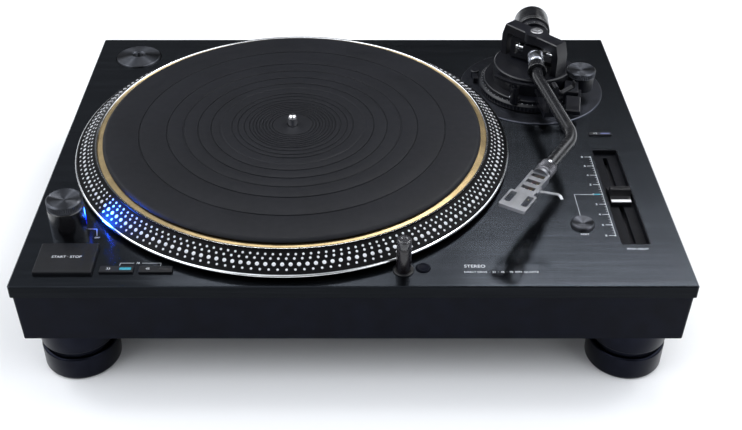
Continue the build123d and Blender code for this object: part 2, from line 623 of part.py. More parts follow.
def gimbal_ring():
    frame = box(-3, 3, -20.5, 20.5, 116.5, 134.2) - box(-4, 4, -16.5, 16.5, 119.5, 131.2)
    frame = fillet(frame.edges().filter_by(Axis.X), 1.2)
    frame += disc(2, 111.5, 116.5) + disc(2, 134.2, 138.5)
    return gimbal_frame() * (frame - bar(1.6, -30, 30, 0, ARM_Z))


def pivot_screws():
    screws = []
    for side in (1, -1):
        screw = bar(1.6, 9.5, 21.2, 0, ARM_Z) + bar(2.7, 13.9, 16.5, 0, ARM_Z)
        screw += bar(1.2, 6.8, 9.5, 0, ARM_Z)
        screws.append(screw if side > 0 else Rot(0, 0, 180) * screw)
    return gimbal_frame() * Compound(children=screws)


def pivot_core():
    core = box(-5, 5, -8.6, 8.6, ARM_Z - 4.7, ARM_Z + 4.7)
    return chamfer(core.edges().filter_by(Axis.X), 1.0)


def arm_pivot_block():
    """The cross block between the gimbal's screws, with the threaded tail for the weight."""
    block = pivot_core() - bar(1.2 + SHAFT_CLEAR, -10, -6.2, 0, ARM_Z)
    block -= bar(1.2 + SHAFT_CLEAR, 6.2, 10, 0, ARM_Z)
    tail = rear_frame() * rod(4, -52, -4, 0, ARM_Z)
    return gimbal_frame() * block + (tail - gimbal_frame() * pivot_core())


def tube_path():
    end_x = TUBE_BEND_2[0] + TUBE_RUN * cos(radians(OFFSET_DEG))
    end_y = TUBE_BEND_2[1] - TUBE_RUN * sin(radians(OFFSET_DEG))
    start = (3.0 * cos(radians(tube_angle())), 3.0 * sin(radians(tube_angle())))
    points = [(x, y, ARM_Z) for x, y in (start, TUBE_BEND_1, TUBE_BEND_2, (end_x, end_y))]
    return FilletPolyline(*points, radius=[36, 28])


def arm_tube():
    path = tube_path()
    outside = sweep(Plane(path @ 0, z_dir=path % 0) * Circle(TUBE_R), path=path)
    inside = sweep(Plane(path @ 0, z_dir=path % 0) * Circle(TUBE_R - 0.8), path=path)
    return arm_frame() * (outside - inside) - gimbal_frame() * pivot_core()


def arm_hub():
    profile = [(TUBE_R, 9), (6.4, 9), (6.4, 23), (5.4, 23.6), (5.4, 25), (6.2, 25.6), (6.2, 33.4)]
    profile += [(7.6, 34), (7.6, 36), (7.2, 36.4), (TUBE_R, 36.4)]
    hub = revolve(make_face(Polyline(*[(x, y, 0) for y, x in profile], close=True)), Axis.X)
    return rear_frame() * Pos(0, 0, ARM_Z) * hub


def weight_bush():
    bush = rod(7, -54, -24, 0, ARM_Z) - rod(4 + SHAFT_CLEAR, -70, -20, 0, ARM_Z)
    return rear_frame() * bush


def counterweight():
    profile = [(7.05, -54), (13.6, -54), (14.6, -53), (14.6, -32), (14, -31.4), (7.05, -31.4)]
    weight = revolve(make_face(Polyline(*[(x, y, 0) for y, x in profile], close=True)), Axis.X)
    return rear_frame() * Pos(0, 0, ARM_Z) * weight


def force_ring():
    """The thin dial, marked in grams, on the front of the counterweight."""
    dial = rod(13.2, -31.1, -24, 0, ARM_Z) - rod(7.05, -70, -20, 0, ARM_Z)
    for n in range(30):
        notch = Pos(-29, 0, ARM_Z) * Rot(12 * n, 0, 0) * Pos(0, 13.5, 0) * Rot(0, 90, 0)
        dial -= notch * Cylinder(0.6, 5)
    return rear_frame() * dial


def headshell_collar():
    profile = [(TUBE_R + SHAFT_CLEAR, -10), (5.4, -10), (6.3, -8.6), (6.3, 2.6), (5.8, 3.3)]
    profile += [(4.2, 3.3), (4.2, 0.4), (TUBE_R + SHAFT_CLEAR, 0.4)]
    collar = revolve(make_face(Polyline(*[(x, y, 0) for y, x in profile], close=True)), Axis.X)
    for n in range(20):
        notch = Rot(18 * n, 0, 0) * Pos(-3, 6.6, 0) * Rot(0, 90, 0)
        collar -= notch * Cylinder(0.55, 8)
    return shell_frame() * Pos(0, 0, ARM_Z) * collar


def headshell():
    """The plug that enters the tube, the flange, the slotted stem and the cartridge plate."""
    shell = rod(3.4, -8, 3.7, 0, ARM_Z) + rod(6, 3.7, 6.4, 0, ARM_Z)
    stem = box(5, SHELL_STEM + 2, -STEM_W / 2, STEM_W / 2, SHELL_LOW, SHELL_HIGH)
    for n in range(3):
        stem -= box(8 + 8.2 * n, 11.8 + 8.2 * n, -4.8, 4.8, 120, 130)
    front = box(SHELL_STEM, SHELL_FRONT, -SHELL_W / 2, SHELL_W / 2, SHELL_LOW, SHELL_HIGH)
    front = fillet(front.edges().filter_by(Axis.Z), 1.4)
    for side in (-1, 1):
        slot = slab(12.6, 4.4, 1.4, 120, 130, 41.1, side * 6.1)
        front -= slot
        y = side * (STEM_W / 2 - 0.7)
        stem += box(6, SHELL_STEM, y - 0.7, y + 0.7, 122.6, SHELL_LOW)
    return shell_frame() * (shell + stem + front)


def headshell_leads():
    """Four short leads from the connector's pins, under the stem, to the cartridge plate."""
    leads = []
    for y, swing in ((-3.4, 0.9), (-1.2, -0.6), (1.2, 0.6), (3.4, -0.9)):
        points = [(6.6, y, 124.4), (15, y + swing, 124.2), (24, y - swing, 124.2), (33, y, 123.8)]
        path = FilletPolyline(*points, radius=[14, 14])
        leads.append(sweep(Plane(path @ 0, z_dir=path % 0) * Circle(0.5), path=path).solid())
    return shell_frame() * Compound(children=leads)


def finger_lift():
    """A bent strip from the side of the stem, for lifting the arm by hand."""
    path = FilletPolyline((24.8, 7.2, 126.8), (19.9, 20.4, 126.2), (23.3, 23.6, 125.6), radius=3)
    strip = sweep(Plane(path @ 0, z_dir=path % 0) * Circle(0.95), path=path)
    root = box(21.4, 28.4, STEM_W / 2, STEM_W / 2 + 1.2, SHELL_LOW, SHELL_HIGH)
    return shell_frame() * (strip + root)


# ---- write the nodes ----------------------------------------------------------------------
PIECES = [
    top_plate, chassis, base_cover, base_screws, stator, bearing_housing, circuit_boards,
    ac_inlet, phono_jacks, ground_nut, strobe_tower, strobe_lens, power_dial,
    start_stop_button, range_button, reset_button, lamp_button, lamp_guide, target_lamp,
    lamp_cap, fader_bezel, pitch_slider, single_adapter,
    platter, brass_plate, platter_screws, damping_rubber, platter_mat, rotor_yoke,
    rotor_magnets, spindle,
    arm_dish, height_ring, lock_lever, arm_pillar, yoke, cue_housing, arm_rest, arm_clip,
    antiskate_dial, cue_lever, cue_platform,
    gimbal_ring, pivot_screws, arm_pivot_block, arm_tube, arm_hub, weight_bush,
    counterweight, force_ring, headshell_collar, headshell, headshell_leads, finger_lift,
]

for piece in PIECES:
    save(piece.__name__, piece())
for key_name in SPEED_X:
    save(key_name, speed_button(key_name))
for foot_name, foot_x, foot_y in foot_places():
    save(foot_name, foot(foot_x, foot_y))
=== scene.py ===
"""The looks of a direct-drive record player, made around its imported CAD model.

Every piece is built where it stands in the CAD frame: metres in Blender, and millimetres in the
numbers below, with heights above the floor. MM turns one into the other.
"""
import json
from math import atan2, cos, degrees, hypot, pi, radians, sin, tan

import bmesh
import bpy
import numpy as np
from mathutils import Matrix, Vector

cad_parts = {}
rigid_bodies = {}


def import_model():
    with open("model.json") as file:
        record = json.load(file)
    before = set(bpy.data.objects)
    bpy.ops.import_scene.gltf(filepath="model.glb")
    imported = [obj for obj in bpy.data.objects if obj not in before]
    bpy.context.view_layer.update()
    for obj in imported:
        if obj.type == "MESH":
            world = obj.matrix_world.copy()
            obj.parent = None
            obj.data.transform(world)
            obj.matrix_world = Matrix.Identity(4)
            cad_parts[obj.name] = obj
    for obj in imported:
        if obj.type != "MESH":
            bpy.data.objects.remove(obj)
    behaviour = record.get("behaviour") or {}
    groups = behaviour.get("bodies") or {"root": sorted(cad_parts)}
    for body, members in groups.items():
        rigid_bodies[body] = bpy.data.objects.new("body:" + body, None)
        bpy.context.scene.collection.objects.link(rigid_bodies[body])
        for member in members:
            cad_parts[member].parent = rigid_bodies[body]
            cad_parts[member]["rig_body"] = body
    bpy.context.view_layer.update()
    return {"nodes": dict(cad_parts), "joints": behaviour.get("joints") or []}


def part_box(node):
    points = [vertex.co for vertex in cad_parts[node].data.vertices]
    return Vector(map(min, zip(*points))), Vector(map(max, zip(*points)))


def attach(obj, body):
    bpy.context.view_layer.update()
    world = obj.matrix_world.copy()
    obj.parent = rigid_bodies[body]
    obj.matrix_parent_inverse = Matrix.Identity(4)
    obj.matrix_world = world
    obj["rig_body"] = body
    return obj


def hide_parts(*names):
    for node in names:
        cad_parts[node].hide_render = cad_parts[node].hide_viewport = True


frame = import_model()
scene = bpy.context.scene
joints = {joint["name"]: joint for joint in frame["joints"]}
MM = 0.001


# ---- places, read from the frame ------------------------------------------------------------
def box_mm(node):
    """The lowest and highest corners of a CAD node, in millimetres."""
    low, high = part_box(node)
    return low / MM, high / MM


def middle(node):
    low, high = box_mm(node)
    return (low + high) / 2


def upright(x, y):
    """A frame at x, y on the floor, in millimetres, with Z up."""
    return Matrix.Translation(Vector((x * MM, y * MM, 0)))


def heading_place(x, y, heading):
    """Upright at x, y, turned about Z by heading degrees."""
    return upright(x, y) @ Matrix.Rotation(radians(heading), 4, "Z")


def turned_box(node):
    """An upright turned node's place, radius, and lowest and highest height in millimetres."""
    low, high = box_mm(node)
    at = (low + high) / 2
    return upright(at.x, at.y), (high.x - low.x) / 2, low.z, high.z


DECK = box_mm("top_plate")[1].z
PLATTER_AT = Vector(joints["platter_spin"]["pos_m"]) / MM
ARM_AT = Vector(joints["arm_swing"]["pos_m"]) / MM
ARM_Z = joints["arm_dip"]["pos_m"][2] / MM
# the arm's direction from its pivot, the yoke's, and the headshell's angle to the arm, in degrees
ARM_HEADING, WINDOW_HEADING, OFFSET = -101.0, -138.0, 21.0
# the tube's radius, its two bends from the pivot, and its run after them
TUBE_R, TUBE_BENDS, TUBE_RUN = 4.5, ((46.0, 5.2), (128.0, 35.3)), 53.5
TUBE_ANGLE = degrees(atan2(TUBE_BENDS[0][1], TUBE_BENDS[0][0]))
TUBE_END = (TUBE_BENDS[1][0] + TUBE_RUN * cos(radians(OFFSET)),
            TUBE_BENDS[1][1] - TUBE_RUN * sin(radians(OFFSET)))
ARM_PLACE = heading_place(ARM_AT.x, ARM_AT.y, ARM_HEADING)


def along(place):
    """The frame whose Z is the given frame's X, at the arm's height, for pieces turned about it."""
    return place @ Matrix.Translation((0, 0, ARM_Z * MM)) @ Matrix.Rotation(radians(90), 4, "Y")


REAR_PLACE = heading_place(ARM_AT.x, ARM_AT.y, ARM_HEADING + TUBE_ANGLE)
SHELL_PLACE = ARM_PLACE @ heading_place(*TUBE_END, -OFFSET)


# ---- meshes ---------------------------------------------------------------------------------
def add_object(name, data):
    made = bpy.data.objects.new(name, data)
    scene.collection.objects.link(made)
    return made


def add_mesh(name, points, faces, material, smooth=30):
    """A mesh piece from points in millimetres, with edges sharper than smooth degrees kept."""
    mesh = bpy.data.meshes.new(name)
    mesh.from_pydata([Vector(p) * MM for p in points], [], faces)
    mesh.validate()
    mesh.shade_smooth()
    mesh.set_sharp_from_angle(angle=radians(smooth))
    mesh.materials.append(material)
    return add_object(name, mesh)


def finish_piece(piece, body, replaces=()):
    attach(piece, body)
    if replaces:
        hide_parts(*replaces)
    return piece


def soften(profile, radius, steps=3):
    """The (r, z) profile with its corners rounded. A point may carry its own radius."""
    count = len(profile)
    made = []
    for n, point in enumerate(profile):
        here = Vector(point[:2])
        before = Vector(profile[n - 1][:2]) - here
        after = Vector(profile[(n + 1) % count][:2]) - here
        reach = min(point[2] if len(point) > 2 else radius, 0.45 * before.length, 0.45 * after.length)
        on_axis = here.x < 1e-6
        if on_axis or reach < 1e-4:
            made.append(tuple(here))
            continue
        start = here + before.normalized() * reach
        end = here + after.normalized() * reach
        for step in range(steps + 1):
            t = step / steps
            bent = start * (1 - t) ** 2 + here * (2 * t * (1 - t)) + end * t ** 2
            made.append(tuple(bent))
    return made


def spun(r_outer, z_outer, r_inner, z_inner, pitch=0.5, depth=0.03):
    """Profile points of fine turning grooves across a face, from the outside in."""
    count = max(2, int(abs(r_outer - r_inner) / pitch) * 2)
    for n in range(count + 1):
        t = n / count
        drop = depth if n % 2 else 0.0
        yield r_outer + (r_inner - r_outer) * t, z_outer + (z_inner - z_outer) * t - drop, 0.0


def knurled(profile, low, high):
    """The profile with extra points where a knurl starts and ends, so that it has clean ends."""
    made = []
    for start, end in zip(profile, profile[1:] + profile[:1]):
        made.append(start)
        cuts = [z for z in (low - 0.15, low, high, high + 0.15)
                if min(start[1], end[1]) < z < max(start[1], end[1])]
        for z in sorted(cuts, reverse=start[1] > end[1]):
            t = (z - start[1]) / (end[1] - start[1])
            made.append((start[0] + (end[0] - start[0]) * t, z))
    return made


def lathe(name, profile, place, material, segments=128, knurl=None, smooth=30):
    """A turned piece. profile is a closed outline of (r, z); knurl is (low, high, count, depth)."""
    if knurl:
        profile, segments = knurled(profile, knurl[0], knurl[1]), knurl[2] * 6
    rings, points, faces = [], [], []
    for r, z in profile:
        if r < 1e-6:
            rings.append([len(points)])
            points.append((0, 0, z))
            continue
        ring = []
        for n in range(segments):
            angle = 2 * pi * n / segments
            inset = 0.0
            if knurl and knurl[0] <= z <= knurl[1]:
                inset = knurl[3] * (0.5 - 0.5 * cos(knurl[2] * angle)) ** 0.6
            ring.append(len(points))
            points.append(((r - inset) * cos(angle), (r - inset) * sin(angle), z))
        rings.append(ring)
    for lower, upper in zip(rings, rings[1:] + rings[:1]):
        for n in range(segments):
            m = (n + 1) % segments
            corners = [lower[n % len(lower)], lower[m % len(lower)]]
            corners += [upper[m % len(upper)], upper[n % len(upper)]]
            face = list(dict.fromkeys(corners))
            if len(face) > 2:
                faces.append(face)
    placed = [place @ (Vector(p) * MM) / MM for p in points]
    return add_mesh(name, placed, faces, material, smooth)


def stand_in(name, node, profile, place, surface, segments=128, knurl=None):
    """A turned piece that rides with a CAD node and shows in its place."""
    piece = lathe(name, profile, place, surface, segments, knurl)
    return finish_piece(piece, frame["nodes"][node]["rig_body"], [node])


def joined(name, pieces):
    """Several mesh objects as one."""
    bpy.ops.object.select_all(action="DESELECT")
    for piece in pieces:
        piece.select_set(True)
    bpy.context.view_layer.objects.active = pieces[0]
    bpy.ops.object.join()
    pieces[0].name = name
    return pieces[0]


EDGE_ANGLE, KEPT_SHARP = 35.0, 32.0  # edges that get rounded, and those left sharp after it


def softened(node, width, surface, without=None):
    """A copy of a CAD node with its sharp edges rounded by width millimetres, to stand for it.

    without is a test on a point in millimetres, for the solids that another piece shows better.
    """
    shape = bmesh.new()
    shape.from_mesh(frame["nodes"][node].data)
    bmesh.ops.remove_doubles(shape, verts=shape.verts, dist=1e-6)
    bmesh.ops.dissolve_limit(shape, angle_limit=radians(1), verts=shape.verts, edges=shape.edges)
    if without:
        gone = [v for v in shape.verts if without(v.co / MM)]
        bmesh.ops.delete(shape, geom=gone, context="VERTS")
    edges = [e for e in shape.edges if e.is_manifold and e.calc_face_angle() > radians(EDGE_ANGLE)]
    bmesh.ops.bevel(shape, geom=edges, offset=width * MM, segments=2, profile=0.6, affect="EDGES",
                    clamp_overlap=True)
    mesh = bpy.data.meshes.new(f"{node}_soft")
    shape.to_mesh(mesh)
    shape.free()
    mesh.materials.clear()
    mesh.materials.append(surface)
    mesh.shade_smooth()
    mesh.set_sharp_from_angle(angle=radians(KEPT_SHARP))
    piece = add_object(f"{node}_soft", mesh)
    piece.modifiers.new("flat_faces", "WEIGHTED_NORMAL").keep_sharp = True
    return finish_piece(piece, frame["nodes"][node]["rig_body"], [node])


def filleted(corners, radii, step=2.0):
    """Points through a run of corners, in millimetres, with an arc at each inner one."""
    corners = [Vector(corner) for corner in corners]
    path = [corners[0]]
    for before, here, after, radius in zip(corners, corners[1:], corners[2:], radii):
        back, ahead = (before - here).normalized(), (after - here).normalized()
        half = back.angle(ahead) / 2
        centre = here + (back + ahead).normalized() * radius / sin(half)
        start, end = here + back * radius / tan(half) - centre, here + ahead * radius / tan(half) - centre
        turn, axis = start.angle(end), start.cross(end).normalized()
        count = max(3, int(radius * turn / step))
        path += [centre + Matrix.Rotation(turn * n / count, 3, axis) @ start for n in range(count + 1)]
    return path + [corners[-1]]


def swept(name, path, outline, place, material, smooth=40, scale=lambda share: 1.0, bore=None):
    """A closed outline of (side, up) points drawn along a nearly level path, in millimetres.

    bore is a second outline with as many points, for a hollow piece.
    """
    points, faces, size = [], [], len(outline)
    length = [0.0]
    for start, end in zip(path, path[1:]):
        length.append(length[-1] + (end - start).length)
    for n, here in enumerate(path):
        ahead = (path[min(n + 1, len(path) - 1)] - path[max(n - 1, 0)]).normalized()
        side = Vector((0, 0, 1)).cross(ahead).normalized()
        up = ahead.cross(side)
        k = scale(length[n] / length[-1])
        points += [place @ ((here + side * a * k + up * b * k) * MM) / MM for a, b in outline + (bore or [])]
    row, last = size * (2 if bore else 1), len(path) - 1
    for m in range(size):
        after = (m + 1) % size
        for n in range(last):
            faces.append([n * row + m, n * row + after, (n + 1) * row + after, (n + 1) * row + m])
            if bore:
                inner = [n * row + after, n * row + m, (n + 1) * row + m, (n + 1) * row + after]
                faces.append([corner + size for corner in inner])
        if bore:
            faces.append([m, size + m, size + after, after])
            faces.append([last * row + k for k in (m, after, size + after, size + m)])
    if not bore:
        faces += [list(reversed(range(size))), [last * size + m for m in range(size)]]
    return add_mesh(name, points, faces, material, smooth)


def circle(radius, count=32):
    return [(radius * cos(2 * pi * n / count), radius * sin(2 * pi * n / count)) for n in range(count)]


def wrapped(piece, place, radius):
    """Bends flat print, drawn round x = 0 on z = 0, onto a cylinder of this radius about place's Z."""
    for vertex in piece.data.vertices:
        x, y, z = vertex.co / MM
        out = radius + z
        vertex.co = place @ (Vector((out * cos(x / radius), out * sin(x / radius), y)) * MM)
    return piece


def lettering(text, height, x, y, z, material, align="CENTER", heading=0.0, bold=0.0):
    """Flat printed text with its capitals height millimetres high, centred on y."""
    curve = bpy.data.curves.new("print", "FONT")
    curve.body, curve.size, curve.align_x, curve.align_y = text, height * SIZE_PER_CAPITAL, align, "CENTER"
    curve.offset, curve.extrude = bold, PRINT_T / 2
    maker = add_object("print", curve)
    graph = bpy.context.evaluated_depsgraph_get()
    mesh = bpy.data.meshes.new_from_object(maker.evaluated_get(graph))
    bpy.data.objects.remove(maker)
    mesh.transform(Matrix.Translation((x, y, z + PRINT_T / 2)) @ Matrix.Rotation(radians(heading), 4, "Z"))
    mesh.transform(Matrix.Scale(MM, 4))
    mesh.materials.clear()
    mesh.materials.append(material)
    return add_object("print", mesh)


def stroke(points, width, z, material):
    """A printed line through the points, in straight runs that overlap at their ends."""
    corners, faces = [], []
    for (x0, y0), (x1, y1) in zip(points, points[1:]):
        along = Vector((x1 - x0, y1 - y0)).normalized() * width / 2
        across = Vector((-along.y, along.x))
        first = len(corners)
        for height in (z, z + PRINT_T):
            for end, sign in ((Vector((x0, y0)), -1), (Vector((x1, y1)), 1)):
                for side in (-1, 1):
                    corners.append((*(end + sign * along + side * across), height))
        faces += [[first + n for n in face] for face in BOX_FACES]
    return add_mesh("stroke", corners, faces, material)


SIZE_PER_CAPITAL = 1.42  # a font's size for capitals one unit high
BOX_FACES = ((0, 1, 3, 2), (4, 6, 7, 5), (0, 4, 5, 1), (2, 3, 7, 6), (1, 5, 7, 3), (0, 2, 6, 4))
PRINT_T = 0.03


def pill(name, x0, x1, y0, y1, z0, z1, corner, material, edge=0.15):
    """A raised bar with round corners and a softened upper edge."""
    points, faces = [], []
    levels = [(0.0, z0), (0.0, z1 - edge), (edge * 0.4, z1 - edge * 0.3), (edge, z1)]
    ring_size = 24
    for inset, z in levels:
        for n in range(ring_size):
            quarter = n // 6
            angle = radians(90 * quarter + 18 * (n % 6))
            cx = (x1 - corner) if quarter in (0, 3) else (x0 + corner)
            cy = (y1 - corner) if quarter in (0, 1) else (y0 + corner)
            r = max(corner - inset, 0.01)
            points.append((cx + r * cos(angle), cy + r * sin(angle), z))
    for level in range(len(levels) - 1):
        for n in range(ring_size):
            m = (n + 1) % ring_size
            base = level * ring_size
            faces.append([base + n, base + m, base + ring_size + m, base + ring_size + n])
    faces.append([(len(levels) - 1) * ring_size + n for n in range(ring_size)])
    faces.append([n for n in reversed(range(ring_size))])
    return add_mesh(name, points, faces, material)


# ---- materials ------------------------------------------------------------------------------
class Graph:
    """A node tree, and short calls that add to it."""

    def __init__(self, tree):
        self.tree, self.nodes = tree, tree.nodes

    def add(self, kind, inputs=(), **settings):
        """A node with its settings; each of its inputs is a value or another node's output."""
        node = self.nodes.new(kind)
        for key, value in settings.items():
            setattr(node, key, value)
        for key, value in dict(inputs).items():
            if isinstance(value, bpy.types.NodeSocket):
                self.tree.links.new(value, node.inputs[key])
            else:
                node.inputs[key].default_value = value
        return node

    def ramp(self, value, stops):
        """A colour ramp; a stop is (position, colour or grey)."""
        node = self.add("ShaderNodeValToRGB", {"Fac": value})
        elements = node.color_ramp.elements
        while len(elements) < len(stops):
            elements.new(0.5)
        for element, (position, colour) in zip(elements, stops):
            element.position = position
            grey = isinstance(colour, (int, float))
            element.color = (colour, colour, colour, 1) if grey else (*colour, 1)
        return node.outputs["Color"]

    def range(self, value, low, high, from_low=0.3, from_high=0.7):
        inputs = {"Value": value, "From Min": from_low, "From Max": from_high, "To Min": low, "To Max": high}
        return self.add("ShaderNodeMapRange", inputs).outputs["Result"]

    def math(self, operation, a, b=0.0):
        return self.add("ShaderNodeMath", {0: a, 1: b}, operation=operation).outputs[0]

    def mixed(self, blend, factor, first, second):
        inputs = {"Factor": factor, "A": first, "B": second}
        return self.add("ShaderNodeMix", inputs, data_type="RGBA", blend_type=blend).outputs["Result"]


class Surface(Graph):
    """A Principled material and the nodes that feed it."""

    def __init__(self, name, **sockets):
        self.material = bpy.data.materials.new(name)
        self.material.use_nodes = True
        super().__init__(self.material.node_tree)
        self.shader = self.nodes["Principled BSDF"]
        for key, value in sockets.items():
            self.shader.inputs[key.replace("_", " ")].default_value = value
        self.object = self.add("ShaderNodeTexCoord").outputs["Object"]
        self.height = self.add("ShaderNodeSeparateXYZ", {"Vector": self.object}).outputs["Z"]

    def link(self, output, target):
        self.tree.links.new(output, self.shader.inputs[target])

    def stretched(self, scale):
        """Object coordinates, longer or shorter along each axis."""
        return self.add("ShaderNodeMapping", {"Vector": self.object, "Scale": scale}).outputs["Vector"]

    def noise(self, size_mm, detail=3.0, rough=0.5, vector=None):
        """Noise with features of about size_mm, from 0 to 1."""
        inputs = {"Vector": vector or self.object, "Scale": 1 / (size_mm * MM), "Detail": detail}
        inputs["Roughness"] = rough
        return self.add("ShaderNodeTexNoise", inputs).outputs["Fac"]

    def bump(self, height, distance_mm, strength=1.0):
        inputs = {"Height": height, "Distance": distance_mm * MM, "Strength": strength}
        self.link(self.add("ShaderNodeBump", inputs).outputs["Normal"], "Normal")


def brushed_deck():
    """Black anodised plate with its hairlines along X, and painted shade that darkens its sides."""
    s = Surface("deck_black", Metallic=1.0, Anisotropic=0.9, Anisotropic_Rotation=0.25)
    fine = s.noise(14, 4, 0.6, s.stretched((0.25, 30, 30)))
    broad = s.noise(30, 2, 0.5, s.stretched((0.15, 5, 5)))
    both = s.math("ADD", s.math("MULTIPLY", fine, 0.65), s.math("MULTIPLY", broad, 0.35))
    tones = [(0.32, (0.030, 0.034, 0.041)), (0.52, (0.047, 0.053, 0.063)), (0.7, (0.072, 0.081, 0.095))]
    # painted shade: below the top's edge the colour falls to a share of the top's
    sides, painted_side_shade = (DECK - 0.8) * MM, 0.17
    face = s.range(s.height, painted_side_shade, 1.0, sides, sides + 0.2 * MM)
    s.link(s.mixed("MULTIPLY", 1.0, s.ramp(both, tones), face), "Base Color")
    s.link(s.range(fine, 0.21, 0.27), "Roughness")
    s.bump(fine, 0.006, 0.5)
    along_x = s.add("ShaderNodeCombineXYZ", {"X": 1.0})
    s.link(along_x.outputs["Vector"], "Tangent")
    return s.material


def painted(name, colour, roughness, spread=0.25, grain_mm=0.6, grain=0.006, specular=0.5, **sockets):
    """Satin paint or moulded plastic: a faint mottle in colour and gloss, and a fine grain."""
    s = Surface(name, Specular_IOR_Level=specular, **sockets)
    mottle = s.noise(14, 4, 0.6)
    low = [c * (1 - spread) for c in colour]
    high = [c * (1 + spread) for c in colour]
    s.link(s.ramp(mottle, [(0.35, low), (0.65, high)]), "Base Color")
    s.link(s.range(s.noise(5, 3), roughness - 0.05, roughness + 0.06), "Roughness")
    s.bump(s.noise(grain_mm, 2), grain)
    return s.material


def turned_metal(name, colour, roughness, anisotropy=0.7, grain_mm=0.35, spread=0.12, axis="Z", **sockets):
    """Metal turned or spun about its own axis, with fine circular grain."""
    s = Surface(name, Metallic=1.0, Anisotropic=anisotropy, **sockets)
    grain = s.noise(grain_mm, 3, 0.6)
    cloud = s.noise(9, 3, 0.5)
    low = [c * (1 - spread) for c in colour]
    high = [min(c * (1 + spread), 1.0) for c in colour]
    s.link(s.ramp(cloud, [(0.35, low), (0.65, high)]), "Base Color")
    s.link(s.range(grain, roughness - 0.04, roughness + 0.05), "Roughness")
    s.bump(grain, 0.004, 0.4)
    tangent = s.add("ShaderNodeTangent", direction_type="RADIAL", axis=axis)
    s.link(tangent.outputs["Tangent"], "Tangent")
    return s.material


def mat_rubber():
    """Charcoal rubber with a faint bloom and mould grain."""
    s = Surface("mat_rubber", Specular_IOR_Level=0.2)
    cloud = s.noise(40, 4, 0.6)
    s.link(s.ramp(cloud, [(0.3, (0.0036, 0.0040, 0.0060)), (0.7, (0.0056, 0.0061, 0.0088))]), "Base Color")
    s.link(s.range(s.noise(6, 3), 0.5, 0.62), "Roughness")
    s.bump(s.noise(0.5, 2), 0.01, 0.6)
    return s.material


def lens_glow():
    """The strobe's slot: white-blue where the lamp is, deep blue towards its ends."""
    s = Surface("lens_blue", Roughness=0.25, Emission_Strength=22.0)
    low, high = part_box("strobe_lens")
    level = s.range(s.height, 0.0, 1.0, low.z, high.z)
    stops = [(0.25, (0.0, 0.0, 0.02)), (0.45, (0.0, 0.02, 0.7)), (0.75, (0.03, 0.16, 1.0))]
    stops += [(1.0, (0.004, 0.05, 0.9))]
    colour = s.ramp(level, stops)
    s.link(colour, "Emission Color")
    s.link(colour, "Base Color")
    return s.material


def glowing(name, colour, strength):
    """A lit indicator behind frosted plastic, uneven over its face."""
    s = Surface(name, Roughness=0.4, Emission_Strength=strength)
    low = [c * 0.6 for c in colour]
    tint = s.ramp(s.noise(1.5, 2), [(0.35, low), (0.65, colour)])
    s.link(tint, "Emission Color")
    s.link(tint, "Base Color")
    return s.material


def smoked():
    s = Surface("lens_smoke", Transmission_Weight=0.6, IOR=1.5, Roughness=0.08)
    s.link(s.ramp(s.noise(4, 2), [(0.3, (0.06, 0.06, 0.066)), (0.7, (0.10, 0.10, 0.11))]), "Base Color")
    return s.material


def circuit(name, board, parts, low, high):
    """A board and what stands on it, told apart by height."""
    s = Surface(name, Roughness=0.45)
    level = s.range(s.height, 0.0, 1.0, low * MM, high * MM)
    speckle = s.noise(3, 4, 0.7)
    mixed = s.math("ADD", level, s.math("MULTIPLY", s.math("SUBTRACT", speckle, 0.5), 0.3))
    s.link(s.ramp(mixed, [(0.4, board), (0.6, parts)]), "Base Color")
    s.bump(speckle, 0.02)
    return s.material


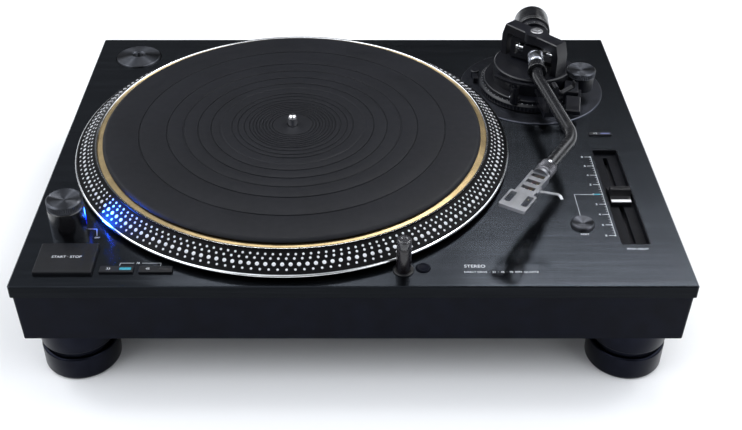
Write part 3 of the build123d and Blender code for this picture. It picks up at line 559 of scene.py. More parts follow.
def make_materials():
    return {
        "deck": brushed_deck(),
        "body": painted("body_black", (0.0022, 0.0030, 0.0072), 0.42, specular=0.06),
        "cover": painted("base_black", (0.012, 0.012, 0.013), 0.6, grain=0.02),
        "steel": turned_metal("screw_steel", (0.42, 0.42, 0.43), 0.35, 0.3),
        "board": circuit("board_green", (0.02, 0.10, 0.05), (0.03, 0.03, 0.035), 51, 70),
        "coil": circuit("coil_copper", (0.02, 0.10, 0.05), (0.62, 0.28, 0.13), 84.8, 85.6),
        "socket": painted("socket_black", (0.006, 0.006, 0.0075), 0.34, specular=0.35),
        "key": painted("key_charcoal", (0.0042, 0.0047, 0.0066), 0.5, grain_mm=0.35, grain=0.012,
                       specular=0.25),
        "tray": painted("tray_charcoal", (0.0045, 0.0048, 0.0065), 0.5, grain_mm=0.4, specular=0.08),
        "grip": painted("grip_grey", (0.20, 0.20, 0.21), 0.5, grain_mm=0.3, grain=0.02, spread=0.1),
        "line": painted("line_white", (0.62, 0.62, 0.63), 0.45, spread=0.05),
        "dish": turned_metal("dish_slate", (0.075, 0.080, 0.098), 0.3, 0.2),
        "collar": turned_metal("collar_black", (0.10, 0.10, 0.11), 0.28, 0.3),
        "lamp": painted("lamp_black", (0.006, 0.0045, 0.006), 0.25, specular=0.5),
        "lead_white": painted("lead_white", (0.80, 0.78, 0.72), 0.5, spread=0.08),
        "lead_yellow": painted("lead_yellow", (0.75, 0.55, 0.10), 0.5, spread=0.08),
        "lead_red": painted("lead_red", (0.70, 0.25, 0.22), 0.5, spread=0.08),
        "jack": turned_metal("jack_gold", (0.83, 0.62, 0.26), 0.22, 0.3, axis="Y"),
        "tower": painted("tower_black", (0.0045, 0.0045, 0.0055), 0.2, specular=0.6),
        "lens": lens_glow(),
        "smoke": smoked(),
        "dial": turned_metal("dial_black", (0.075, 0.079, 0.090), 0.36, 1.0, Anisotropic_Rotation=0.25),
        "platter": turned_metal("platter_silver", (0.80, 0.81, 0.82), 0.16, 0.5),
        # this black is the strobe band's paint, and also painted shade under the platter's rim
        "band": painted("strobe_band_and_rim_shade", (0.0025, 0.0025, 0.003), 0.45, specular=0.06),
        "dots": painted("strobe_dots", (0.58, 0.59, 0.62), 0.35, spread=0.06, specular=0.3),
        "brass": turned_metal("brass_turned", (0.42, 0.315, 0.165), 0.30, 0.6),
        "mat": mat_rubber(),
        "magnet": painted("magnet_grey", (0.09, 0.09, 0.10), 0.55),
        "chrome": turned_metal("spindle_chrome", (0.82, 0.82, 0.84), 0.09, 0.3),
        "foot": turned_metal("foot_black", (0.010, 0.011, 0.017), 0.32, 0.3),
        "arm": painted("arm_black", (0.0028, 0.0031, 0.0054), 0.34, grain=0.004, specular=0.4),
        "tube": painted("tube_black", (0.006, 0.0063, 0.0075), 0.24, grain=0.002, specular=0.5),
        "hub": turned_metal("hub_grey", (0.50, 0.52, 0.58), 0.28, 0.4),
        "shell": painted("shell_silver", (0.20, 0.205, 0.22), 0.34, spread=0.12, grain_mm=0.5, grain=0.01,
                         Metallic=0.9),
        "ink": painted("print_white", (0.55, 0.57, 0.60), 0.6, spread=0.1),
        "violet": painted("lamp_violet", (0.10, 0.11, 0.24), 0.4),
        "teal": glowing("lit_teal", (0.02, 0.22, 0.30), 0.6),
    }


SHOWN_NODES = {  # the CAD nodes that show as they are, by material
    "steel": ("platter_screws", "bearing_housing"),
    "board": ("circuit_boards",),
    "coil": ("stator",),
    "lens": ("strobe_lens",),
    "mat": ("damping_rubber",),
    "magnet": ("rotor_magnets", "rotor_yoke"),
}


def dress_nodes(material):
    for key, names in SHOWN_NODES.items():
        for name in names:
            node = frame["nodes"][name]
            node.data.materials.clear()
            node.data.materials.append(material[key])


# ---- platter --------------------------------------------------------------------------------
def platter_place():
    return upright(PLATTER_AT.x, PLATTER_AT.y)


HUB_R, PLATTER_FACE, BRASS_R = 142, 103, 148.4  # the rim's inside, the platter's top, the brass plate
BAND_TOP, BAND_FOOT_R = (150.85, 105.03), 163.3  # the strobe band's upper edge, and its lower radius


STROBE_ROWS = (  # radius, height above the deck, dots round the rim, dot radius, all in millimetres
    (152.8, 13.85, 191, 0.85),
    (155.3, 12.2, 186, 0.9),
    (158.6, 10.05, 180, 1.4),
    (161.7, 8.05, 174, 0.85),
)
DOT_RINGS = ((1.0, 0.0), (0.86, 0.5), (0.5, 0.87))  # share of a dot's radius, and of its rise
BAND_SLOPE = 12.3 / 8  # the band's outward lean: width over height


def strobe_dots(material):
    """The rim's four rows of raised dots."""
    out, side, sides = Vector((1, 0, BAND_SLOPE)).normalized(), Vector((0, 1, 0)), 10
    up = out.cross(side)
    points, faces = [], []
    for row_r, row_z, count, dot_r in STROBE_ROWS:
        rise_most, sunk = 0.22 * dot_r, 0.03
        for n in range(count):
            turn = Matrix.Rotation(2 * pi * n / count, 3, "Z")
            base = Vector((row_r, 0, DECK + row_z))
            first = len(points)
            for share, rise in DOT_RINGS:
                for k in range(sides):
                    angle = 2 * pi * k / sides
                    offset = side * cos(angle) + up * sin(angle)
                    points.append(turn @ (base + offset * dot_r * share + out * (rise * rise_most - sunk)))
            points.append(turn @ (base + out * (rise_most - sunk)))
            for ring in range(2):
                for k in range(sides):
                    m = (k + 1) % sides
                    low = first + ring * sides
                    faces.append((low + k, low + m, low + sides + m, low + sides + k))
            for k in range(sides):
                last = first + 2 * sides
                faces.append((last + k, last + (k + 1) % sides, last + sides))
            faces.append(tuple(first + k for k in reversed(range(sides))))
    placed = [p + Vector((PLATTER_AT.x, PLATTER_AT.y, 0)) for p in points]
    piece = add_mesh("strobe_dots", placed, faces, material["dots"], smooth=60)
    return finish_piece(piece, "platter")


def make_platter(material):
    """The turned platter with its painted strobe band, black paint under its rim as painted shade, and the
    brass plate let into it.
    """
    _, r, z0, z1 = turned_box("platter")
    inner, lip = 9.0, z0 + 2.3
    profile = [(inner, z0 + 4.4), (HUB_R, z0 + 4.4), (HUB_R, z0), (r - 3.5, z0), (r - 1.2, lip - 0.4)]
    profile += [(r, lip, 0.3), (r, z0 + 3, 0.4), (r - 0.5, z0 + 3.5, 0.3), (r - 1.0, z0 + 3.75, 0.0)]
    profile += [(BAND_FOOT_R + 0.1, z0 + 4.7, 0.2), (BAND_FOOT_R, z0 + 4.3), BAND_TOP, (150.5, 105.2, 0.1)]
    profile += [(150.4, z1 - 0.1, 0.3), (149.9, z1, 0.0), (BRASS_R + 0.5, z1, 0.3), (BRASS_R, z1 - 0.5)]
    profile += [(BRASS_R, PLATTER_FACE), (inner, PLATTER_FACE)]
    piece = stand_in("platter_turned", "platter", soften(profile, 0.12), platter_place(), material["platter"],
                     256)
    piece.data.materials.append(material["band"])
    centre = Vector((PLATTER_AT.x, PLATTER_AT.y)) * MM
    for face in piece.data.polygons:
        out, height = (Vector(face.center[:2]) - centre).length / MM, face.center.z / MM
        on_band = 149.95 < out < r - 0.95 and height > z0 + 3.7
        # the band's black also covers the faces under the rim, as painted shade
        painted_rim_shade = out > 140 and height < lip - 0.2
        if on_band or painted_rim_shade:
            face.material_index = 1
    top = box_mm("brass_plate")[1].z
    profile = [(3.7, PLATTER_FACE), (BRASS_R, PLATTER_FACE), (BRASS_R, top - 1.1, 0.3)]
    profile += list(spun(BRASS_R - 0.4, top - 1.0, 142.3, top, 0.4, 0.012)) + [(3.7, top)]
    stand_in("brass_turned", "brass_plate", soften(profile, 0.1), platter_place(), material["brass"],
             256)


MAT_GROOVES = (  # radius and width of each groove in the mat
    (117, 1.0), (96, 0.9), (83.5, 1.5), (72.5, 0.9), (62.5, 0.8), (46.5, 1.1), (42, 0.8), (37, 0.8),
    (33, 0.8), (30.5, 0.7), (28, 0.7), (25.5, 0.7), (23, 0.7), (20.5, 0.7), (18, 0.6), (15.5, 0.6),
)
MAT_RIDGE = 55.0


def make_mat(material):
    """The rubber mat: a rolled rim, a ridge, and a groove at each radius of MAT_GROOVES."""
    _, r, z0, z1 = turned_box("platter_mat")
    profile = [(3.7, z0), (r - 1.4, z0), (r - 0.3, z0 + 0.7, 0.4), (r - 0.3, z0 + 1.3, 0.5)]
    profile += [(r - 2.0, z1, 1.3)]
    shoulder, depth = z1 - 0.2, 0.7
    for groove_r, width in MAT_GROOVES:
        half = width / 2
        if groove_r < MAT_RIDGE and all(p[0] > MAT_RIDGE for p in profile[3:]):
            profile += [(MAT_RIDGE + 1.4, z1), (MAT_RIDGE + 0.7, z1 - 0.25), (MAT_RIDGE - 0.2, z1 - 0.25)]
            profile += [(MAT_RIDGE - 0.9, z1)]
        profile += [(groove_r + half + 0.15, z1), (groove_r + half, shoulder)]
        profile += [(groove_r + half * 0.6, z1 - depth), (groove_r - half * 0.6, z1 - depth)]
        profile += [(groove_r - half, shoulder), (groove_r - half - 0.15, z1)]
    profile += [(4.4, z1), (3.7, z1 - 0.6)]
    stand_in("mat_moulded", "platter_mat", soften(profile, 0.12, 2), platter_place(), material["mat"],
             256)


def make_spindle(material):
    top = box_mm("spindle")[1].z
    profile = [(0, 53), (6, 53), (6, 97), (9, 97), (9, PLATTER_FACE), (3.55, PLATTER_FACE)]
    profile += [(3.55, top - 2.6, 1.2), (2.7, top - 0.9, 0.8), (1.4, top - 0.1, 0.4), (0, top)]
    stand_in("spindle_turned", "spindle", soften(profile, 0.2, 4), platter_place(), material["chrome"],
             96)


# ---- turned controls ------------------------------------------------------------------------
WELL = 82  # the round keys' undersides, in the deck's wells


def make_power_dial(material):
    place, r, bottom, top = turned_box("power_dial")
    base = box_mm("strobe_tower")[1].z + 0.3
    profile = [(0, bottom), (4, bottom), (4, base), (r, base), (r, top - 0.9, 0.5), (r - 1.0, top, 0.3)]
    profile += [(r - 1.7, top), (r - 2.0, top - 0.35)]
    profile += list(spun(r - 2.1, top - 0.4, 1.0, top - 1.3, 0.4, 0.02)) + [(0, top - 1.3)]
    stand_in("power_dial_turned", "power_dial", soften(profile, 0.25), place, material["dial"],
             knurl=(base + 0.8, top - 1.4, 60, 0.45))


def make_reset_button(material):
    place, r, bottom, top = turned_box("reset_button")
    profile = [(0, bottom), (2.4, bottom), (2.4, WELL), (r, WELL), (r, top - 0.8, 0.5), (r - 0.8, top, 0.3)]
    profile += [(r - 1.4, top)] + list(spun(r - 1.5, top - 0.05, 1.0, top - 1.2, 0.4, 0.02))
    profile += [(0, top - 1.2)]
    stand_in("reset_button_turned", "reset_button", soften(profile, 0.2), place, material["dial"],
             96)


def make_adapter(material):
    """The centre piece for large-hole records, lying in its well."""
    place, r, bottom, top = turned_box("single_adapter")
    profile = [(3.7, bottom), (r, bottom), (r, top - 2.4, 0.5), (r - 0.7, top - 1.8, 0.3)]
    profile += list(spun(r - 1.5, top - 1.8, 6.3, top - 0.05, 0.5, 0.02))
    profile += [(6.0, top, 0.3), (5.4, top - 0.9, 0.2), (3.7, top - 0.9)]
    stand_in("adapter_turned", "single_adapter", soften(profile, 0.2), place, material["dial"])


def make_antiskate(material):
    place, r, bottom, top = turned_box("antiskate_dial")
    base = 110.1
    profile = [(0, bottom), (3, bottom), (3, base), (r, base), (r, top - 0.8, 0.4), (r - 0.8, top, 0.3)]
    profile += [(r - 1.6, top)] + list(spun(r - 1.8, top - 0.1, 0.9, top - 1.1, 0.4, 0.02))
    profile += [(0, top - 1.1)]
    stand_in("antiskate_turned", "antiskate_dial", soften(profile, 0.2), place, material["dial"],
             knurl=(base + 0.5, top - 1.2, 48, 0.4))


def make_feet(material):
    """Each foot's lower ring and housing, with the stud's end above them inside the plinth."""
    shoulder = box_mm("chassis")[0].z - 0.3
    for corner in ("front_left", "front_right", "rear_left", "rear_right"):
        name = f"foot_{corner}"
        place, r, _, top = turned_box(name)
        profile = [(0, 0), (r - 2.5, 0), (r - 0.8, 0.6, 0.6), (r, 2.0, 0.8), (r, 18.4, 0.5)]
        profile += [(r - 0.6, 19.2, 0.4), (r - 1.6, 19.6), (r - 3, 19.6), (r - 3, 24.5), (r - 0.7, 24.5, 0.4)]
        profile += [(r, 25.4, 0.5), (r, shoulder - 0.7, 0.4), (r - 0.7, shoulder), (5, shoulder)]
        profile += [(5, top - 1), (4, top), (0, top)]
        stand_in(f"{name}_turned", name, soften(profile, 0.2), place, material["foot"])


# ---- arm ------------------------------------------------------------------------------------
def make_tube(material):
    corners = [(6 * cos(radians(TUBE_ANGLE)), 6 * sin(radians(TUBE_ANGLE)), ARM_Z)]
    corners += [(*bend, ARM_Z) for bend in TUBE_BENDS] + [(*TUBE_END, ARM_Z)]
    path = filleted(corners, (36, 28))
    piece = swept("arm_tube_drawn", path, circle(TUBE_R, 40), ARM_PLACE, material["tube"],
                  bore=circle(TUBE_R - 0.8, 40))
    finish_piece(piece, "tonearm", ["arm_tube"])


def make_hub(material):
    """The arm's sleeve in front of its pivot: a grey band, then a black one."""
    profile = [(TUBE_R, 9), (6.0, 9), (6.4, 9.5, 0.3), (6.4, 12.0), (6.2, 12.2), (6.2, 12.6), (6.4, 12.8)]
    profile += [(6.4, 22.4, 0.3), (5.4, 23.4), (5.4, 25), (6.2, 25.6), (6.2, 33.2), (7.6, 33.9, 0.2)]
    profile += [(7.6, 36.0, 0.3), (7.1, 36.4), (TUBE_R, 36.4)]
    place, grey_end = along(REAR_PLACE), 23.2
    piece = stand_in("arm_hub_turned", "arm_hub", soften(profile, 0.15), place, material["hub"],
                     64)
    piece.data.materials.append(material["tube"])
    back = place.inverted()
    for face in piece.data.polygons:
        if (back @ face.center).z / MM > grey_end:
            face.material_index = 1


def make_weight(material):
    """The counterweight, its force ring with a printed scale, and the bush that carries both."""
    place, bore = along(REAR_PLACE), 7.05
    profile = [(bore, -54), (7.6, -53.5), (9.8, -53.5), (10.1, -54), (13.6, -54), (14.6, -53, 0.5)]
    profile += [(14.6, -35.0), (14.2, -34.7), (14.2, -34.0), (14.6, -33.7), (14.6, -32.2, 0.4)]
    profile += [(14, -31.4), (bore, -31.4)]
    stand_in("counterweight_turned", "counterweight", soften(profile, 0.25), place, material["tube"])
    scale_r, steps = 12.9, 40
    profile = [(bore, -31.1), (13.0, -31.1), (13.2, -30.8), (13.2, -27.2), (scale_r, -26.9)]
    profile += [(scale_r, -24.4, 0.3), (12.5, -24), (9.2, -24), (9.0, -24.3), (bore, -24.3)]
    stand_in("force_ring_turned", "force_ring", soften(profile, 0.12), place, material["arm"],
             knurl=(-30.6, -27.6, 64, 0.35))
    marks = []
    for n in range(steps):
        x = 2 * pi * scale_r * n / steps
        tick = stroke([(x, -24.9), (x, -25.2)], 0.18, 0.0, material["ink"])
        marks.append(wrapped(tick, place, scale_r))
        if n % 10 == 0:
            digit = lettering(str(n // 10), 1.1, 0, 0, 0, material["ink"], heading=180)
            digit.data.transform(Matrix.Translation((x * MM, -26.0 * MM, 0)))
            marks.append(wrapped(digit, place, scale_r))
    finish_piece(joined("force_ring_print", marks), "force_ring")
    profile = [(4.05, -54), (6.8, -54), (7.0, -53.7), (7.0, -24.2), (6.7, -23.9), (4.6, -23.9), (4.05, -24.4)]
    stand_in("weight_bush_turned", "weight_bush", soften(profile, 0.1), place, material["steel"],
             64)


def make_pivots(material):
    """The two screws that the arm dips on, their points inwards."""
    pieces = []
    ring_place = heading_place(ARM_AT.x, ARM_AT.y, ARM_HEADING - OFFSET)
    profile = [(0, 6.8), (0.6, 6.8), (1.2, 7.6), (1.2, 9.5), (1.6, 9.6), (1.6, 13.9), (2.5, 13.9)]
    profile += [(2.7, 14.2, 0.2), (2.7, 16.2, 0.2), (2.5, 16.5), (1.6, 16.5), (1.6, 21.0), (1.4, 21.2)]
    profile += [(0.5, 21.2), (0.4, 20.6), (0, 20.6)]
    for turn in (90, -90):
        place = along(ring_place @ Matrix.Rotation(radians(turn), 4, "Z"))
        pieces.append(lathe("pivot", soften(profile, 0.08), place, material["chrome"], 40))
    finish_piece(joined("pivot_screws_turned", pieces), "gimbal", ["pivot_screws"])


def make_lock_nut(material):
    """The upper bearing's lock nut, on top of the yoke."""
    place = heading_place(ARM_AT.x, ARM_AT.y, WINDOW_HEADING)
    top = box_mm("yoke")[1].z
    seat = top - 1.3
    washer = [(0, top - 2.5), (4.7, top - 2.5), (5, top - 2.2), (5, top - 1.6), (4.6, seat), (0, seat)]
    pieces = [lathe("washer", soften(washer, 0.15), place, material["steel"], 48)]
    hexagon = [(0, seat), (3.4, seat), (3.4, top - 0.4), (3.0, top), (1.5, top), (1.3, top - 0.5)]
    hexagon += [(0, top - 0.5)]
    pieces.append(lathe("nut", hexagon, place, material["steel"], 6))
    finish_piece(joined("lock_nut", pieces), "arm_base")


def make_collar(material):
    """The knurled collar that locks the headshell, and the peg on its rear left."""
    place, bore = along(SHELL_PLACE), TUBE_R + 0.05
    profile = [(bore, -10), (5.2, -10), (6.3, -8.6, 0.4), (6.3, 2.4, 0.4), (5.8, 3.3, 0.2), (4.2, 3.3)]
    profile += [(4.2, 0.4), (bore, 0.4)]
    stand_in("collar_turned", "headshell_collar", soften(profile, 0.15), place, material["collar"],
             knurl=(-7.6, 1.2, 36, 0.45))
    foot = Matrix.Translation(Vector((-6.0, 1.5, -6.2)) * MM)
    peg_place = place @ foot @ Matrix.Rotation(radians(-90), 4, "Y")
    profile = [(0, -0.8), (1.5, -0.8), (1.5, 0.5, 0.4), (0.9, 1.2, 0.4), (0, 1.4)]
    peg = lathe("collar_peg", soften(profile, 0.2), peg_place, material["chrome"], 32)
    finish_piece(peg, "headshell_collar")


def make_headshell(material):
    """The headshell, its four sleeved leads, and the bent finger lift."""
    softened("headshell", 0.3, material["shell"])
    wires = []
    sleeve = Vector((3.0, 0, 0))
    colours = ("lead_white", "lead_red", "lead_yellow", "lead_white")
    for (y, swing), colour in zip(((-3.4, 0.9), (-1.2, -0.6), (1.2, 0.6), (3.4, -0.9)), colours):
        points = [(6.6, y, 124.4), (15, y + swing, 124.2), (24, y - swing, 124.2), (33, y, 123.8)]
        path = filleted(points, (14, 14), 1.0)
        wires.append(swept("wire", path, circle(0.5, 12), SHELL_PLACE, material[colour]))
        for start, end in ((path[0], path[0] + sleeve), (path[-1] - sleeve, path[-1])):
            clip = [start, start.lerp(end, 0.15), start.lerp(end, 0.85), end]
            wires.append(swept("clip", clip, circle(0.72, 12), SHELL_PLACE, material["jack"]))
    finish_piece(joined("leads_sleeved", wires), "headshell", ["headshell_leads"])
    path = filleted([(24.8, 7.2, 126.8), (19.9, 20.4, 126.2), (23.3, 23.6, 125.6)], (3,), 0.4)
    strip = [(-1.5, -0.1), (-1.2, -0.45), (1.2, -0.45), (1.5, -0.1)]
    strip += [(1.5, 0.15), (1.2, 0.45), (-1.2, 0.45), (-1.5, 0.15)]
    narrower = lambda share: 1.0 - 0.35 * share ** 2
    lift = [swept("lift", path, strip, SHELL_PLACE, material["shell"], scale=narrower)]
    root = [(-0.6, -1.0), (-0.3, -1.3), (0.3, -1.3), (0.6, -1.0), (0.6, 1.0), (0.3, 1.3), (-0.3, 1.3)]
    root += [(-0.6, 1.0)]
    block = [Vector((x, 7.4, 126.9)) for x in (21.4, 21.7, 28.1, 28.4)]
    ends = lambda share: 0.8 if share in (0.0, 1.0) else 1.0
    lift.append(swept("root", block, root, SHELL_PLACE, material["shell"], scale=ends))
    finish_piece(joined("finger_lift_bent", lift), "headshell", ["finger_lift"])


def make_height_ring(material):
    """The knurled height dial with its printed scale, and the index line on the arm's base."""
    place, r, bottom, top = turned_box("height_ring")
    profile = [(33.9, bottom), (r - 0.4, bottom), (r, bottom + 0.4), (r, top - 1.6, 0.2)]
    profile += [(r - 1.6, top, 0.3), (39.6, top), (39.4, top - 0.4), (33.9, top - 0.4)]
    stand_in("height_ring_turned", "height_ring", soften(profile, 0.2), place, material["arm"],
             knurl=(bottom + 0.7, top - 2.2, 90, 0.5))

    def radial(angle, inner, outer, width, z):
        across = Vector((cos(radians(angle)), sin(radians(angle))))
        ends = [tuple(middle("height_ring").xy + across * k) for k in (inner, outer)]
        return stroke(ends, width, z, material["ink"])

    marks = [radial(6 * n, 40.7 if n % 10 else 40.2, 41.7, 0.22, top) for n in range(60)]
    finish_piece(joined("height_print", marks), "height_ring")
    index = radial(-125, 36.4, 39.2, 0.6, box_mm("arm_pillar")[0].z + 20.2)
    index.name = "height_index"
    finish_piece(index, "arm_base")


def make_dish(material):
    """The arm's round base plate, let into the deck, with the tube that the pillar rises in."""
    place, r, bottom, top = turned_box("arm_dish")
    rim = DECK + 1.2
    profile = [(31.05, bottom), (36, bottom), (36, 80.3), (45, 80.3), (45, DECK), (r, DECK)]
    profile += [(r, rim - 0.5, 0.2), (r - 0.6, rim, 0.2), (33.6, rim), (33.6, top), (31.05, top)]
    stand_in("arm_dish_turned", "arm_dish", soften(profile, 0.1), place, material["dish"], 192)


def make_target_lamp(material):
    """The pop-up lamp, its smoked cap, and the round key that lets it up."""
    place, r, bottom, top = turned_box("target_lamp")
    profile = [(0, bottom), (r - 0.4, bottom), (r, bottom + 0.4), (r, top - 1.4), (r - 0.2, top - 1.2)]
    profile += [(r - 0.2, top - 0.9), (r, top - 0.7), (r, top - 0.2, 0.15), (3.7, top), (3.7, 104), (0, 104)]
    stand_in("target_lamp_turned", "target_lamp", soften(profile, 0.1), place, material["lamp"],
             64)
    top = box_mm("lamp_cap")[1].z
    profile = [(0, 104.2), (3.6, 104.2), (3.6, 110.5), (r, 110.5), (r, top - 1.0, 0.6), (r - 1.0, top, 0.4)]
    profile += [(2.4, top), (1.9, top - 0.4), (0, top - 0.25)]
    stand_in("lamp_cap_turned", "lamp_cap", soften(profile, 0.3), place, material["smoke"], 64)
    place, r, bottom, top = turned_box("lamp_button")
    profile = [(0, bottom), (2.4, bottom), (2.4, WELL), (r, WELL), (r, top - 0.5, 0.3), (r - 0.7, top, 0.3)]
    profile += [(r - 1.2, top), (r - 2.2, top - 0.5), (0, top - 0.7)]
    stand_in("lamp_button_moulded", "lamp_button", soften(profile, 0.2), place, material["body"],
             64)


SOFTENED = (  # node, width of its rounded edges in millimetres, material, slot
    ("top_plate", 0.35, "deck", "deck_black"),
    ("chassis", 0.6, "body", "body_black"),
    ("base_cover", 0.5, "cover", "base_black"),
    ("base_screws", 0.15, "steel", "screw_steel"),
    ("ac_inlet", 0.25, "socket", "socket_black"),
    ("phono_jacks", 0.15, "jack", "jack_gold"),
    ("ground_nut", 0.15, "jack", "jack_gold"),
    ("strobe_tower", 0.2, "tower", "tower_black"),
    ("start_stop_button", 0.3, "key", "socket_black"),
    ("speed_33_button", 0.2, "key", "socket_black"),
    ("speed_45_button", 0.2, "key", "socket_black"),
    ("range_button", 0.15, "key", "socket_black"),
    ("lamp_guide", 0.2, "socket", "socket_black"),
    ("fader_bezel", 0.2, "tray", "socket_black"),
    ("pitch_slider", 0.25, "socket", "socket_black"),
    ("lock_lever", 0.3, "arm", "arm_black"),
    ("arm_pillar", 0.3, "arm", "arm_black"),
    ("cue_housing", 0.35, "arm", "arm_black"),
    ("cue_lever", 0.35, "arm", "socket_black"),
    ("cue_platform", 0.25, "arm", "arm_black"),
    ("arm_rest", 0.3, "arm", "arm_black"),
    ("arm_clip", 0.2, "socket", "socket_black"),
    ("gimbal_ring", 0.3, "arm", "arm_black"),
    ("arm_pivot_block", 0.25, "arm", "tube_black"),
)


def soften_nodes(material):
    """Round the edges of the CAD nodes that aren't turned; the yoke's nut is made apart."""
    for node, width, key, slot in SOFTENED:
        softened(node, width, material[key])
    top = box_mm("yoke")[1].z

    def in_nut(point):
        return point.z > top - 2.55 and hypot(point.x - ARM_AT.x, point.y - ARM_AT.y) < 5.2

    softened("yoke", 0.5, material["arm"], without=in_nut)


def make_slider_bars(material):
    """The fader cap's light strips, on its ridge and on its front lip."""
    (low, high), lip_z = box_mm("pitch_slider"), DECK - 0.4
    y = (low.y + high.y) / 2
    ridge = pill("slider_ridge", low.x + 0.4, high.x - 0.4, y - 1.6, y + 1.6, high.z - 0.3, high.z, 0.5,
                 material["grip"], 0.1)
    finish_piece(ridge, "pitch_slider")
    lip = pill("slider_line", low.x + 0.3, high.x - 0.3, y - 9.2, y - 6.2, lip_z - 0.3, lip_z + 0.15, 0.4,
               material["line"], 0.1)
    finish_piece(lip, "pitch_slider")


# ---- printed marks and lamps ----------------------------------------------------------------
def print_on_keys(material):
    """The keys' words, and the small lit bars beside the speeds and the range."""

    def word(key, name, text, height, x, y, bold=0.0):
        label = lettering(text, height, x, y, box_mm(key)[1].z, material["ink"], bold=bold)
        label.name = name
        finish_piece(label, key)

    def lit_bar(key, name, reach, half, surface):
        high = box_mm(key)[1]
        y = middle(key).y
        bar = pill(name, high.x - reach[0], high.x - reach[1], y - half, y + half, high.z - 0.3, high.z + 0.1,
                   0.5 if half > 1 else 0.4, surface)
        finish_piece(bar, key)

    at = middle("start_stop_button")
    word("start_stop_button", "start_stop_print", "START · STOP", 2.3, at.x + 0.3, at.y + 0.3, 0.01)
    for speed, surface in (("33", "teal"), ("45", "socket")):
        key = f"speed_{speed}_button"
        word(key, f"speed_{speed}_print", speed, 2.0, box_mm(key)[0].x + 6.0, middle(key).y)
        lit_bar(key, f"speed_{speed}_lamp", (9.2, 1.4), 1.3, material[surface])
    key = "range_button"
    word(key, "range_print", "×2", 2.2, box_mm(key)[0].x + 5.0, middle(key).y, 0.03)
    lit_bar(key, "range_lamp", (9.0, 1.6), 0.8, material["violet"])


def print_on_deck(material):
    ink, z = material["ink"], DECK
    marks = []
    # speed keys' bracket, for pressing both
    (left, between), (_, right) = box_mm("speed_33_button"), box_mm("speed_45_button")
    join = (between.x + box_mm("speed_45_button")[0].x) / 2
    foot, top = right.y + 2.0, right.y + 4.6
    for x, end in ((left.x + 12.5, join - 2.8), (right.x - 9.0, join + 2.8)):
        marks.append(stroke([(x, foot), (x, top), (end, top)], 0.25, z, ink))
    marks.append(lettering("78", 1.7, join, top, z, ink))
    # pitch scale
    low, high = box_mm("fader_bezel")
    x, mid = low.x - 2.1, (low.y + high.y) / 2 - 0.15
    step = 12.26
    marks.append(stroke([(x, mid - 4 * step), (x, mid + 4 * step)], 0.3, z, ink))
    for n in range(-4, 5):
        y = mid + n * step
        marks.append(stroke([(x - 4.6, y), (x, y)], 0.35 if n else 0.5, z, ink))
        marks.append(pill("tick", x - 1.1, x + 0.3, y - 0.6, y + 0.6, z, z + PRINT_T, 0.5, ink, 0.01))
        marks.append(lettering(str(abs(2 * n)), 2.0, x - 6.6, y - 0.1, z, ink, bold=0.03))
        if n < 4:
            for part in (0.25, 0.5, 0.75):
                marks.append(stroke([(x - 1.4, y + part * step), (x, y + part * step)], 0.25, z, ink))
    # reset's line to the scale's middle, and small names
    reset = middle("reset_button")
    line_x, line_y = reset.x + 0.2, mid - 0.2
    marks.append(stroke([(line_x, reset.y + 9.2), (line_x, line_y), (x - 7.5, line_y)], 0.3, z, ink))
    marks.append(lettering("RESET", 1.6, reset.x - 0.2, reset.y - 10.7, z, ink, bold=0.02))
    marks.append(lettering("PITCH ADJUST", 1.6, (low.x + high.x) / 2, low.y - 4.7, z, ink, bold=0.02))
    # the front line of small print
    marks.append(lettering("STEREO", 2.9, 74.0, -151.9, z, ink, "LEFT", bold=0.02))
    line = "DIRECT DRIVE  ·  33  ·  45  ·  78  RPM  QUARTZ"
    marks.append(lettering(line, 1.7, 73.5, -157.9, z, ink, "LEFT"))
    # the power dial's two positions
    marks.append(stroke([(-188.9, -114.6), (-188.9, -111), (-179.1, -111), (-177.6, -118.6)], 0.25, z, ink))
    marks.append(lettering("ON", 1.5, -189.4, -117.2, z, ink))
    marks.append(lettering("OFF", 1.5, -177.0, -120.9, z, ink))
    finish_piece(joined("deck_print", marks), "plinth")
    lamp = pill("pitch_zero_lamp", x - 6.6, x - 1.9, mid - 0.7, mid + 0.4, z, z + 0.1, 0.3,
                material["teal"], 0.05)
    finish_piece(lamp, "plinth")


# ---- stage ----------------------------------------------------------------------------------
CAMERA_AT, CAMERA_TILT, LENS, SHIFT_X = (0.0, -0.69833, 0.54192), 53.18, 51.44, 0.024


def make_camera():
    camera = add_object("camera", bpy.data.cameras.new("camera"))
    camera.location = CAMERA_AT
    camera.rotation_euler = (radians(CAMERA_TILT), 0, 0)
    camera.data.lens, camera.data.shift_x = LENS, SHIFT_X
    scene.camera = camera


def make_floor():
    half = 20000  # wide enough to meet the horizon in a low view
    points = [(-half, -half, 0), (half, -half, 0), (half, half, 0), (-half, half, 0)]
    s = Surface("floor_white", Roughness=0.9, Specular_IOR_Level=0.1)
    s.link(s.ramp(s.noise(400, 2), [(0.3, 0.92), (0.7, 0.94)]), "Base Color")
    floor = add_mesh("floor", points, [(0, 1, 2, 3)], s.material)


def add_light(name, at, aim, size, power, colour=(1, 1, 1), size_y=None, spread=180):
    data = bpy.data.lights.new(name, "AREA")
    data.shape = "RECTANGLE"
    data.size, data.size_y, data.energy, data.color = size, size_y or size, power, colour
    data.spread = radians(spread)
    light = add_object(name, data)
    light.location = at
    light.rotation_euler = (Vector(aim) - Vector(at)).to_track_quat("-Z", "Y").to_euler()


# brightness of the room by height: the sine of the angle above the horizon, and the level
DOME_STOPS = ((0.0, 0.01), (sin(radians(45)), 0.012), (sin(radians(52)), 0.25), (sin(radians(60)), 0.35))
SIDE_STOPS = ((0.0, 0.02), (sin(radians(20)), 0.05), (sin(radians(32)), 1.0), (sin(radians(70)), 1.0))
BACKDROP_STOPS = ((0.0, 0.12), (sin(radians(9)), 0.10), (sin(radians(14)), 0.0))
LOW_STOPS = ((0.0, 0.0), (sin(radians(20)), 0.03), (sin(radians(30)), 0.10), (sin(radians(38)), 0.0))


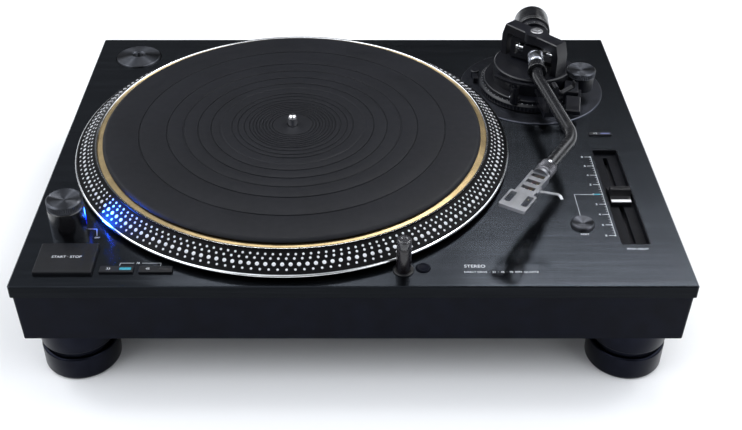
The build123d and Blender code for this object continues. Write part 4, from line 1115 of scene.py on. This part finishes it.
def make_world():
    """A dark room under a soft bright dome that starts well above the horizon."""
    world = bpy.data.worlds.new("studio")
    scene.world = world
    world.use_nodes = True
    g = Graph(world.node_tree)
    generated = g.add("ShaderNodeTexCoord").outputs["Generated"]
    toward = g.add("ShaderNodeSeparateXYZ", {"Vector": generated}).outputs

    def by_height(stops):
        tinted = [(position, (level * 0.95, level * 0.98, level * 1.03)) for position, level in stops]
        return g.ramp(toward["Z"], tinted)

    # the dome is dim where the deck mirrors it, more so to the right, and lower down at both sides
    beside = g.range(g.math("ABSOLUTE", toward["X"]), 0.0, 1.0, 0.38, 0.50)
    dome = g.mixed("MULTIPLY", 1.0, by_height(DOME_STOPS), g.range(toward["X"], 1.2, 0.45, -0.2, 0.12))
    light = g.mixed("MIX", beside, dome, by_height(SIDE_STOPS))
    to_left, to_rear = g.range(toward["X"], 1.0, 0.0, -0.75, 0.05), g.range(toward["Y"], 0.0, 1.0, 0.0, 0.4)
    for share, stops in ((to_left, LOW_STOPS), (to_rear, BACKDROP_STOPS)):
        light = g.mixed("ADD", share, light, by_height(stops))
    background = g.nodes["Background"]
    g.tree.links.new(light, background.inputs["Color"])
    background.inputs["Strength"].default_value = 3.0


# lights that the deck's front mirrors: both ends in X, in metres, and the power in watts
DECK_STRIPS = ((-0.24, 0.14, 0.28), (-0.10, 0.14, 0.26), (0.14, 0.46, 0.59))


def make_stage():
    scene.view_settings.view_transform = "Standard"
    scene.view_settings.look = "None"
    make_camera()
    make_floor()
    make_world()
    lens = middle("strobe_lens") * MM
    out = lens - middle("strobe_tower") * MM
    out.z = 0
    out.normalize()
    aim = lens + out - Vector((0, 0, 0.45))
    add_light("strobe_glow", lens + out * 0.004, aim, 0.004, 0.12, (0.012, 0.12, 1.0), 0.012, spread=95)
    for side in (-1, 1):
        add_light("overhead", (1.6 * side, 0.4, 2.2), (0, 0, 0.1), 0.3, 5)
    add_light("rear_strip", (1.21, 2.57, 1.39), (0.16, 0.05, 0.125), 0.10, 0.4, size_y=0.3)
    for left, right, power in DECK_STRIPS:
        x = (left + right) / 2
        add_light("deck_strip", (x, 0.2, 0.55), (x, -0.17, 0.1), right - left, power, size_y=0.08, spread=120)


material = make_materials()
dress_nodes(material)
make_stage()
for make in (make_platter, strobe_dots, make_mat, make_spindle, make_power_dial, make_reset_button,
             make_adapter, make_antiskate, make_feet, soften_nodes, make_dish, make_height_ring,
             make_lock_nut, make_pivots, make_tube, make_hub, make_weight, make_collar, make_headshell,
             make_target_lamp, make_slider_bars, print_on_keys, print_on_deck):
    make(material)
